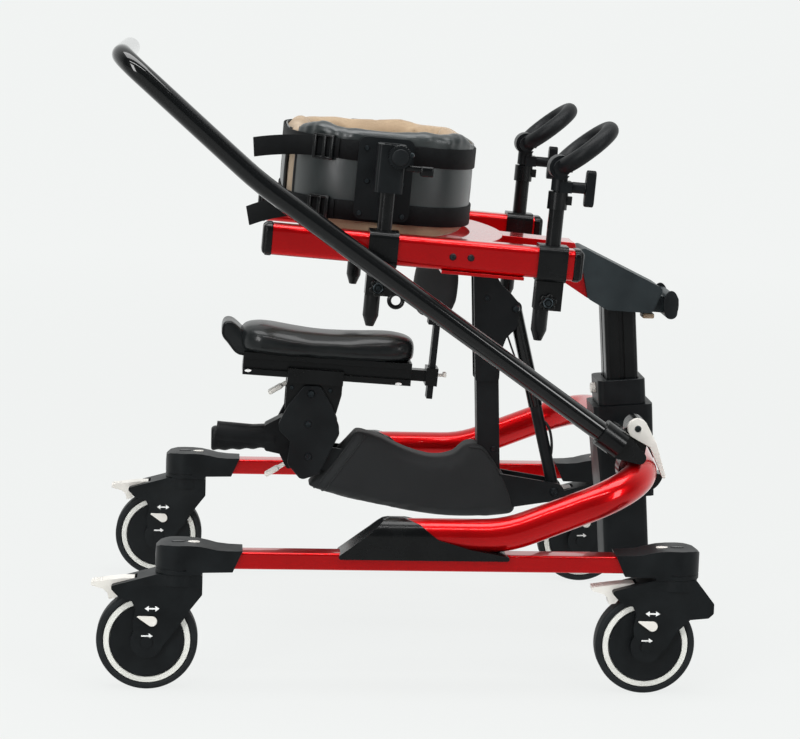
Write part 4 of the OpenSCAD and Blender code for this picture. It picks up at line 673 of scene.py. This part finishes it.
def alongRing(degrees, outMm, riseMm):  # a frame on the ring: X rearwards along it, Y outwards, Z up
    turn = math.radians(degrees)
    ahead = (ringPoint(turn - 0.02, outMm, riseMm) - ringPoint(turn + 0.02, outMm, riseMm)).normalized()
    place = Matrix((ahead, upright.cross(ahead), upright)).transposed().to_4x4()
    place.translation = ringPoint(turn, outMm, riseMm)
    return place


for name, look in loops.items():
    finishPiece(weaveStrap(loopPlaces(look), True), "chest_strap_" + name, "chest_straps", "webbing", True, sharp=60)
    rise = strapRise(look, math.radians(buckle["turn"]))
    line = [ringPoint(math.radians(t), tailOff["outMm"], rise) for t in (*tailOff["under"], tailOff["leave"])]
    leave = alongRing(tailOff["leave"], tailOff["outMm"], rise)
    for reach in tailOff["reachMm"]:
        share = reach / tailOff["reachMm"][-1]
        line.append(leave @ Vector((reach / 1000, tailOff["swing"] * math.sin(share * math.pi),
                                    -look["droop"] * share ** 1.6)))
    finishPiece(weaveStrap(tailPlaces(line)), "chest_strap_tail_" + name, "chest_straps", "webbing", sharp=60)
    deep, proud = buckle["barDeep"]  # ladder-lock: two end bars, a middle bar and two rails
    apart = buckle["wide"] - buckle["bar"]
    blocks = [((buckle["bar"], deep, buckle["tall"]), (x * apart, proud, 0), buckle["edgeMm"]) for x in buckle["bars"]]
    deep, proud = buckle["railDeep"]
    blocks += [((buckle["wide"], deep, buckle["rail"]), (0, proud, z * buckle["tall"]), buckle["edgeMm"])
               for z in (-0.5, 0.5)]
    blockPiece("chest_buckle_" + name, "chest_straps", "glossNylon", blocks,
               alongRing(buckle["turn"], buckle["outMm"], rise))
print("chest ring sewn")

# saddle cushion, pommel pad, raised tail, grip and arm sleeve
fuller = {"length": 1.036, "height": 1.2, "rear": -0.102, "low": 0.0503}
bm = meshCopy("saddle_cushion")
rearLow = saddleFrame @ Matrix.Translation((fuller["rear"], 0, fuller["low"]))
bmesh.ops.scale(bm, vec=(fuller["length"], 1, fuller["height"]), space=rearLow.inverted(), verts=bm.verts)
puff(finishPiece(bm, "saddle_cushion_pad", "saddle_cushion", "saddleVinyl", True), 3.2, 4.0, 3.0, calm=14)
puff(finishPiece(meshCopy("pommel_pad"), "pommel_pad_soft", "pommel_pad", "neoprene", True), 4.5, 4.0, 3.0)

tail = {"middle": (-0.090, 0.050), "size": (0.0358, 0.0385), "half": 0.0272,
        "line": ((-1, 0.6), (-0.97, 0.88), (-0.84, 1.0), (-0.62, 1.0), (-0.3, 0.78), (0.02, 0.45), (0.3, 0.2),
                 (0.3, -0.12), (-0.3, -0.14), (-0.52, 0), (-0.72, 0.22), (-0.93, 0.42))}
bm = bmesh.new()
spots = [saddleFrame @ Vector((tail["middle"][0] + a * tail["size"][0], -tail["half"],
                               tail["middle"][1] + b * tail["size"][1])) for a, b in tail["line"]]
addPlate(bm, smoothLine(spots + spots[:1], 4)[:-1], (0, 2 * tail["half"], 0))
puff(finishPiece(bm, "saddle_tail_pad", "saddle_cushion", "saddleVinyl"), 2.6, 3.0, 2.5)

grip = {"from": (-0.2425, 0.2592), "to": (-0.1560, 0.2640), "half": 0.0135, "tall": 0.0165, "grooves": 4.6,
        "groove": 0.0016, "corner": 0.6, "taper": 0.16, "taperShare": 0.06, "stations": 48, "around": 24}


def gripRow(share):
    x, z = (a + (b - a) * share for a, b in zip(grip["from"], grip["to"]))
    shrink = 1 - grip["taper"] * (1 - min(share / grip["taperShare"], 1)) ** 2
    dip = grip["groove"] * (1 - math.cos(2 * math.pi * grip["grooves"] * share)) / 2
    row = []
    for step in range(grip["around"]):
        turn = step * 2 * math.pi / grip["around"]
        c, d = math.cos(turn), math.sin(turn)
        tall = grip["tall"] - (dip if d < 0 else 0)
        row.append(Vector((x, math.copysign(abs(c) ** grip["corner"], c) * grip["half"] * shrink,
                           z + math.copysign(abs(d) ** grip["corner"], d) * tall * shrink)))
    return row


rows = [gripRow(station / grip["stations"]) for station in range(grip["stations"] + 1)]
finishPiece(sweepRows(rows), "grip_cover", "grip_handle", "gripRubber", bevelMm=1.5)

sleeve = {"pivot": (0.132501, 0.196), "reach": 0.2444, "height": 0.1, "half": 0.0214, "pipe": 0.0013,
          "top": ((-0.76, 0.8), (-0.62, 0.745), (-0.46, 0.59), (-0.32, 0.505), (-0.2, 0.54), (-0.12, 0.66),
                  (-0.04, 0.64), (0.03, 0.45), (0.11, 0.08), (0.155, -0.27)),
          "low": ((0.13, -0.35), (-0.03, -0.39), (-0.3, -0.385), (-0.62, -0.26), (-0.88, -0.1), (-1.01, 0.01)),
          "seams": (((-0.975, -0.035), (-0.93, 0.12), (-0.845, 0.4), (-0.745, 0.745)),
                    ((-0.925, -0.055), (-0.88, 0.09), (-0.795, 0.38), (-0.69, 0.735)),
                    ((-0.12, 0.6), (-0.05, 0.57), (0.015, 0.4), (0.09, 0.05), (0.13, -0.26)))}


def sleeveLine(shares, y):
    return smoothLine([(sleeve["pivot"][0] + a * sleeve["reach"], y, sleeve["pivot"][1] + b * sleeve["height"])
                       for a, b in shares], 6)


bm = bmesh.new()
addPlate(bm, sleeveLine(sleeve["top"], -sleeve["half"]) + sleeveLine(sleeve["low"], -sleeve["half"]),
         (0, 2 * sleeve["half"], 0))
armSleeve = finishPiece(bm, "arm_sleeve_soft", "arm_sleeve", "neoprene", True)
puff(armSleeve, 4.5, 4.0, 5.0)
skin = BVHTree.FromObject(armSleeve, bpy.context.evaluated_depsgraph_get())
bm = bmesh.new()
for seam in sleeve["seams"]:
    for side in (-1, 1):
        met = [skin.ray_cast(spot, Vector((0, -side, 0)))[0] for spot in sleeveLine(seam, side * 0.1)]
        addTube(bm, [spot for spot in met if spot is not None], sleeve["pipe"], 10)
finishPiece(bm, "arm_sleeve_piping", "arm_sleeve", "bindingTape")
print("soft pieces filled")

# small hardware: screws, rings, levers and marks, each set down on the surface that carries it
skins = {}


def onSkin(node, start, way):  # where a line from start first meets a frame node
    if node not in skins:
        bm = bmesh.new()
        bm.from_mesh(frame["nodes"][node].data)
        skins[node] = BVHTree.FromBMesh(bm)
        bm.free()
    spot = skins[node].ray_cast(Vector(start), Vector(way))[0]
    if spot is None:
        raise ValueError("no surface of " + node + " at " + str(start))
    return spot


def fromSide(node, x, z, side):  # the same, seen from the right (-1) or left (1), with x and z in mm
    return onSkin(node, (x / 1000, side * 0.6, z / 1000), (0, -side, 0))


def facing(at, way):  # a frame at a spot, its Z along the way out of the surface
    place = Vector(way).to_track_quat("Z", "Y").to_matrix().to_4x4()
    place.translation = at
    return place


def topFace(verts, at, way):
    return max({f for v in verts for f in v.link_faces}, key=lambda f: (f.calc_center_median() - at).dot(Vector(way)))


# shares of the radius, and the last two of the rise
screwHead = {"rise": 0.5, "top": 0.74, "rim": 0.26, "wall": 0.05, "sunk": 0.46, "socket": 0.55}


def addScrew(bm, at, way, radius):  # button head with its socket
    rise = radius * screwHead["rise"]
    place = facing(at, way) @ Matrix.Translation((0, 0, rise * screwHead["sunk"]))
    verts = bmesh.ops.create_cone(bm, cap_ends=True, segments=20, radius1=radius, radius2=radius * screwHead["top"],
                                  depth=rise, matrix=place)["verts"]
    head = topFace(verts, at, way)
    for thickness, depth in ((screwHead["rim"], 0), (screwHead["wall"], -rise * screwHead["socket"])):
        bmesh.ops.inset_individual(bm, faces=[head], thickness=radius * thickness, depth=depth)


def addRing(bm, at, way, radius, wire, steps=28, sides=10):  # a round ring of wire by spinning its section
    place = facing(at, way)
    verts = bmesh.ops.create_circle(bm, segments=sides, radius=wire)["verts"]
    edges = list({e for v in verts for e in v.link_edges})
    bmesh.ops.rotate(bm, cent=(0, 0, 0), matrix=Matrix.Rotation(math.radians(90), 3, "X"), verts=verts)
    bmesh.ops.translate(bm, vec=(radius, 0, 0), verts=verts)
    bmesh.ops.transform(bm, matrix=place, verts=verts)
    bmesh.ops.spin(bm, geom=verts + edges, cent=place.translation, axis=place.to_3x3() @ Vector((0, 0, 1)),
                   angle=math.radians(360), steps=steps, use_merge=True)
    bmesh.ops.recalc_face_normals(bm, faces=bm.faces)


def addDisc(bm, at, way, wide, tall, rise, edgeMm):  # low oval boss, rounded over
    verts = bmesh.ops.create_cone(bm, cap_ends=True, segments=32, radius1=0.5, radius2=0.5, depth=rise)["verts"]
    bmesh.ops.scale(bm, vec=(wide, tall, 1), verts=verts)
    head = topFace(verts, Vector((0, 0, 0)), (0, 0, 1))
    verts = roundEdges(bm, verts, list(head.edges), edgeMm)
    bmesh.ops.transform(bm, matrix=facing(at, way), verts=verts)


screws = {  # node they sit on: x, z and head radius in mm, each on both sides but for the lever's
    "upper_rails": ((54.3, 535.9, 4.6), (76.9, 535.1, 4.6)),
    "saddle_post": ((121.2, 457.9, 3.6), (125.4, 403.4, 3.6), (136.6, 253.0, 4.2), (160.3, 444.5, 5.4)),
    "saddle_arm": ((220.3, 196.1, 6.0),),
    "saddle_carriage": ((-136.9, 334.2, 3.4), (-85.4, 330.6, 3.4)),
    "tilt_plates": ((-111.0, 327.0, 5.2), (-114.0, 286.0, 4.6), (-113.0, 242.0, 5.2)),
    "guide_cam_lever": ((295.2, 322.8, 4.4),),
    "chest_mounts": ((-53.7, 665.7, 3.4), (-52.7, 624.4, 3.4), (-61.7, 583.9, 3.4), (-0.9, 661.3, 3.4),
                     (-9.2, 620.3, 3.4), (-8.0, 580.0, 3.4))}
for node, heads in screws.items():
    bm = bmesh.new()
    for x, z, radius in heads:
        for side in (-1,) if node == "guide_cam_lever" else (-1, 1):
            addScrew(bm, fromSide(node, x, z, side), (0, side, 0), radius / 1000)
    finishPiece(bm, node + "_screws", node, "screwSteel", sharp=30)

# casters: arrows on the cheeks, inserts on the pots, ribs on the pedals
caster = {"rear": -0.280, "front": 0.340, "side": 0.300,
              "arrows": ((-30.7, 105.0, 18, True), (-36.5, 70.5, 14, False)), "arrowMm": (5.0, 0.9, 3.4),
              "print": 0.0006, "sunk": 0.0002, "ribs": 4, "ribStepMm": 3.4, "ribFirstMm": 3.0, "rib": 0.0014,
              "ribShare": 0.7, "ribEdgeMm": 0.4, "insert": (0.015, 0.009, 0.0016), "insertOff": 0.019,
              "slot": (0.017, 0.006, 0.0014), "discEdgeMm": 0.6}


def casterPlace(corner):  # where its swivel stands
    end, hand = corner.split("_")
    return caster[end], caster["side"] * (-1 if hand == "right" else 1)


def addArrow(bm, middle, wide, double):  # flat print on a cheek, pointing forwards
    half, (head, thin, tall) = wide / 2, caster["arrowMm"]
    line = [(half - head, thin), (half - head, tall), (half, 0), (half - head, -tall), (half - head, -thin)]
    line += [(-a, -b) for a, b in line] if double else [(-half, -thin), (-half, thin)]
    addPlate(bm, [Vector(middle) + Vector((a, 0, b)) / 1000 for a, b in line], (0, -caster["print"], 0))


for corner in corners:
    x, y = casterPlace(corner)
    fork, pedal = corner + "_fork", corner + "_brake_pedal"
    bm = bmesh.new()
    for dx, z, wide, double in caster["arrows"]:
        spot = onSkin(fork, (x + dx / 1000, y - 0.2, z / 1000), (0, 1, 0))
        addArrow(bm, spot + Vector((0, caster["sunk"], 0)), wide, double)
    finishPiece(bm, corner + "_arrows", fork, "whitePrint")
    bm = bmesh.new()
    low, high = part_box(pedal)
    for rib in range(caster["ribs"]):
        along = low[0] + (caster["ribFirstMm"] + rib * caster["ribStepMm"]) / 1000
        size = (caster["rib"], (high[1] - low[1]) * caster["ribShare"], caster["rib"])
        addBlock(bm, size, onSkin(pedal, (along, (low[1] + high[1]) / 2, 0.3), (0, 0, -1)), caster["ribEdgeMm"])
    finishPiece(bm, corner + "_pedal_ribs", pedal, "paleAbs")
inserts, slots = bmesh.new(), bmesh.new()
for corner in corners:
    x, y = casterPlace(corner)
    end = corner.split("_")[0]
    inboard = caster["insertOff"] * (1 if end == "rear" else -1)
    for bm, off, size in ((inserts, inboard, caster["insert"]), (slots, 0.0, caster["slot"])):
        spot = onSkin(end + "_caster_housings", (x + off, y, 0.4), (0, 0, -1))
        addDisc(bm, spot, (0, 0, 1), *size, caster["discEdgeMm"])
finishPiece(inserts, "pot_inserts", "rear_caster_housings", "paleAbs")
finishPiece(slots, "pot_slots", "rear_caster_housings", "glossNylon")
print("hardware set")

# chest dial and the stepped lever beside it
dial = {"place": (-0.0410, 0.2295, 0.1159), "radius": 0.0146, "depth": 0.0075, "ribs": 30, "bite": 0.93,
        "cap": (0.021, 0.021, 0.003, 1.0), "proud": (0.0015, 0.0105), "lever": (-0.0160, 0.2315, 0.1015),
        "leverBlocks": (((0.034, 0.009, 0.0075), (0.0, 0, 0.0015), 1.8),
                        ((0.017, 0.012, 0.0125), (0.010, 0, -0.0005), 2.4))}
for hand, side in (("right", -1), ("left", 1)):
    out = Vector((0, side, 0))
    u, v, w = dial["place"]
    middle = upperFrame @ Vector((u, v * side, w))
    gripOut, capOut = dial["proud"]
    bm = bmesh.new()
    verts = bmesh.ops.create_circle(bm, segments=dial["ribs"] * 4, radius=dial["radius"], cap_ends=True)["verts"]
    for index, vert in enumerate(verts):
        if index % 4 > 1:
            vert.co *= dial["bite"]
    raiseFaces(bm, list(bm.faces), (0, 0, dial["depth"]))
    bmesh.ops.transform(bm, matrix=facing(middle + out * gripOut, out), verts=bm.verts)
    addDisc(bm, middle + out * capOut, out, *dial["cap"])
    bmesh.ops.recalc_face_normals(bm, faces=bm.faces)
    finishPiece(bm, hand + "_chest_dial_grip", "chest_mounts", "charcoalPowder")
    u, v, w = dial["lever"]
    blockPiece(hand + "_chest_lever", "chest_mounts", "glossNylon", dial["leverBlocks"],
               upperFrame @ Matrix.Translation((u, v * side, w)))

# star knobs of the clamps: six lobes round a bright washer and a socket
knobs = {"right_chest_supports": ("chest_supports", -38.1, 495.2, -1),
         "left_chest_supports": ("chest_supports", -38.1, 495.2, 1),
         "right_handhold_clamp": ("right_handhold_clamp", 175.3, 480.5, -1),
         "left_handhold_clamp": ("left_handhold_clamp", 181.3, 480.1, 1)}
knob = {"hub": (0.017, 0.017, 0.006, 1.0), "lobe": (0.0072, 0.0072, 0.006, 1.2), "lobes": 6, "firstDeg": 15,
        "ring": 0.0078, "proud": 0.002, "washer": (0.0056, 0.0010), "washerOut": 0.0052, "screw": 0.0040,
        "screwOut": 0.0048}
for name, (node, x, z, side) in knobs.items():
    spot = fromSide(node, x, z, side)
    out = Vector((0, side, 0))
    bm = bmesh.new()
    addDisc(bm, spot + out * knob["proud"], out, *knob["hub"])
    for lobe in range(knob["lobes"]):
        swing = math.radians(360 / knob["lobes"] * lobe + knob["firstDeg"])
        reach = Vector((math.cos(swing), 0, math.sin(swing))) * knob["ring"]
        addDisc(bm, spot + out * knob["proud"] + reach, out, *knob["lobe"])
    finishPiece(bm, name + "_star_knob", node, "glossNylon")
    bm = bmesh.new()
    addRing(bm, spot + out * knob["washerOut"], out, *knob["washer"])
    addScrew(bm, spot + out * knob["screwOut"], out, knob["screw"])
    finishPiece(bm, name + "_bolt", node, "screwSteel", sharp=30)
hook = {"place": (-0.0150, 0.2250, 0.4790), "size": (0.0085, 0.0028)}
bm = bmesh.new()
for side in (-1, 1):
    x, y, z = hook["place"]
    addRing(bm, Vector((x, side * y, z)), (0, side, 0), *hook["size"])
finishPiece(bm, "chest_strap_hooks", "chest_supports", "glossNylon")

# rounded plugs in the rail ends
plug = {"size": (0.013, 0.0345, 0.0385), "edgeMm": 5.5, "proud": 0.0035, "side": 0.2145}
bm = bmesh.new()
railWay = upperFrame.to_3x3() @ Vector((1, 0, 0))
for side in (-1, 1):
    for end in (-1, 1):
        start = upperFrame @ Vector((end * 0.5, side * plug["side"], 0))
        spot = upperFrame.inverted() @ onSkin("rail_end_caps", start, railWay * -end)
        addBlock(bm, plug["size"], (spot.x + end * (plug["proud"] - plug["size"][0] / 2), spot.y, spot.z),
                 plug["edgeMm"], upperFrame)
finishPiece(bm, "rail_end_plugs", "rail_end_caps", "glossNylon")

# cables of the gas spring's release, both ends going into the hardware
cables = {  # node it goes with, its diameter and its line, in mm
    "release_hose": ("gas_spring_rod", 3.7, ((199.5, 0, 291), (206.5, 0, 288.5), (212.5, 0, 281), (216, 0, 269),
                                             (217.5, 0, 255), (216.5, 0, 241), (213.6, 0, 229))),
    "release_cable": ("gas_spring_tube", 2.6, ((146, -8, 421), (149.5, -9.5, 411), (153.5, -10, 400),
                                               (158, -9.5, 388), (163, -8, 376), (169.5, -5, 364)))}
for name, (node, wideMm, spots) in cables.items():
    line = smoothLine([Vector(p) / 1000 for p in spots], 4)
    bm = bmesh.new()
    addTube(bm, line, wideMm / 2000, 12)
    cable = finishPiece(bm, name, node, "bindingTape")

# nose: end discs of the cross bar
nose = {"middle": (0.3640, 0.0457, 0.4569), "disc": (0.0205, 0.0375, 0.003, 1.0)}
bm = bmesh.new()
for side in (-1, 1):
    x, y, z = nose["middle"]
    addDisc(bm, (x, side * y, z), (0, side, 0), *nose["disc"])
finishPiece(bm, "nose_bar_ends", "nose_cover", "charcoalPowder")

# small levers: the height trigger, two paddles with a narrower stalk and the thumb lever on the pommel's guide
pommelRoot = onSkin("saddle_carriage", (0.3, 0, 0.3500), (-1, 0, 0))
paddle = (((0.022, 0.006, 0.0055), (-0.011, 0, 0), 1.6), ((0.021, 0.015, 0.0062), (-0.0285, 0, 0), 2.2))
thumb = (((0.014, 0.005, 0.004), (0.004, 0, 0), 1.2), ((0.005, 0.009, 0.007), (0.010, 0, 0.001), 1.6))
levers = {  # node it goes with, finish, x and z of its root and its turn, and its blocks
    "height_trigger": ("nose_cover", "tanPlastic", (0.3400, 0.4370, 0), (((0.016, 0.026, 0.007), (0, 0, 0), 2.2),)),
    "carriage_release": ("saddle_carriage", "paleAbs", (-0.1335, 0.3425, -31), paddle),
    "arm_release": ("tilt_plates", "paleAbs", (-0.1360, 0.2305, -31), paddle),
    "pommel_release": ("saddle_carriage", "paleAbs", (pommelRoot.x, pommelRoot.z, 0), thumb)}
for name, (node, finish, root, blocks) in levers.items():
    blockPiece(name, node, finish, blocks, leaning(*root))

# pale marks at the ends of the saddle's carriage
marks = {"places": ((-195.2, 357.1), (4.9, 342.4)), "disc": (0.009, 0.0036, 0.0012, 0.3)}
bm = bmesh.new()
for x, z in marks["places"]:
    for side in (-1, 1):
        addDisc(bm, fromSide("saddle_carriage", x, z, side), (0, side, 0), *marks["disc"])
finishPiece(bm, "carriage_marks", "saddle_carriage", "whitePrint")
print("trim set")
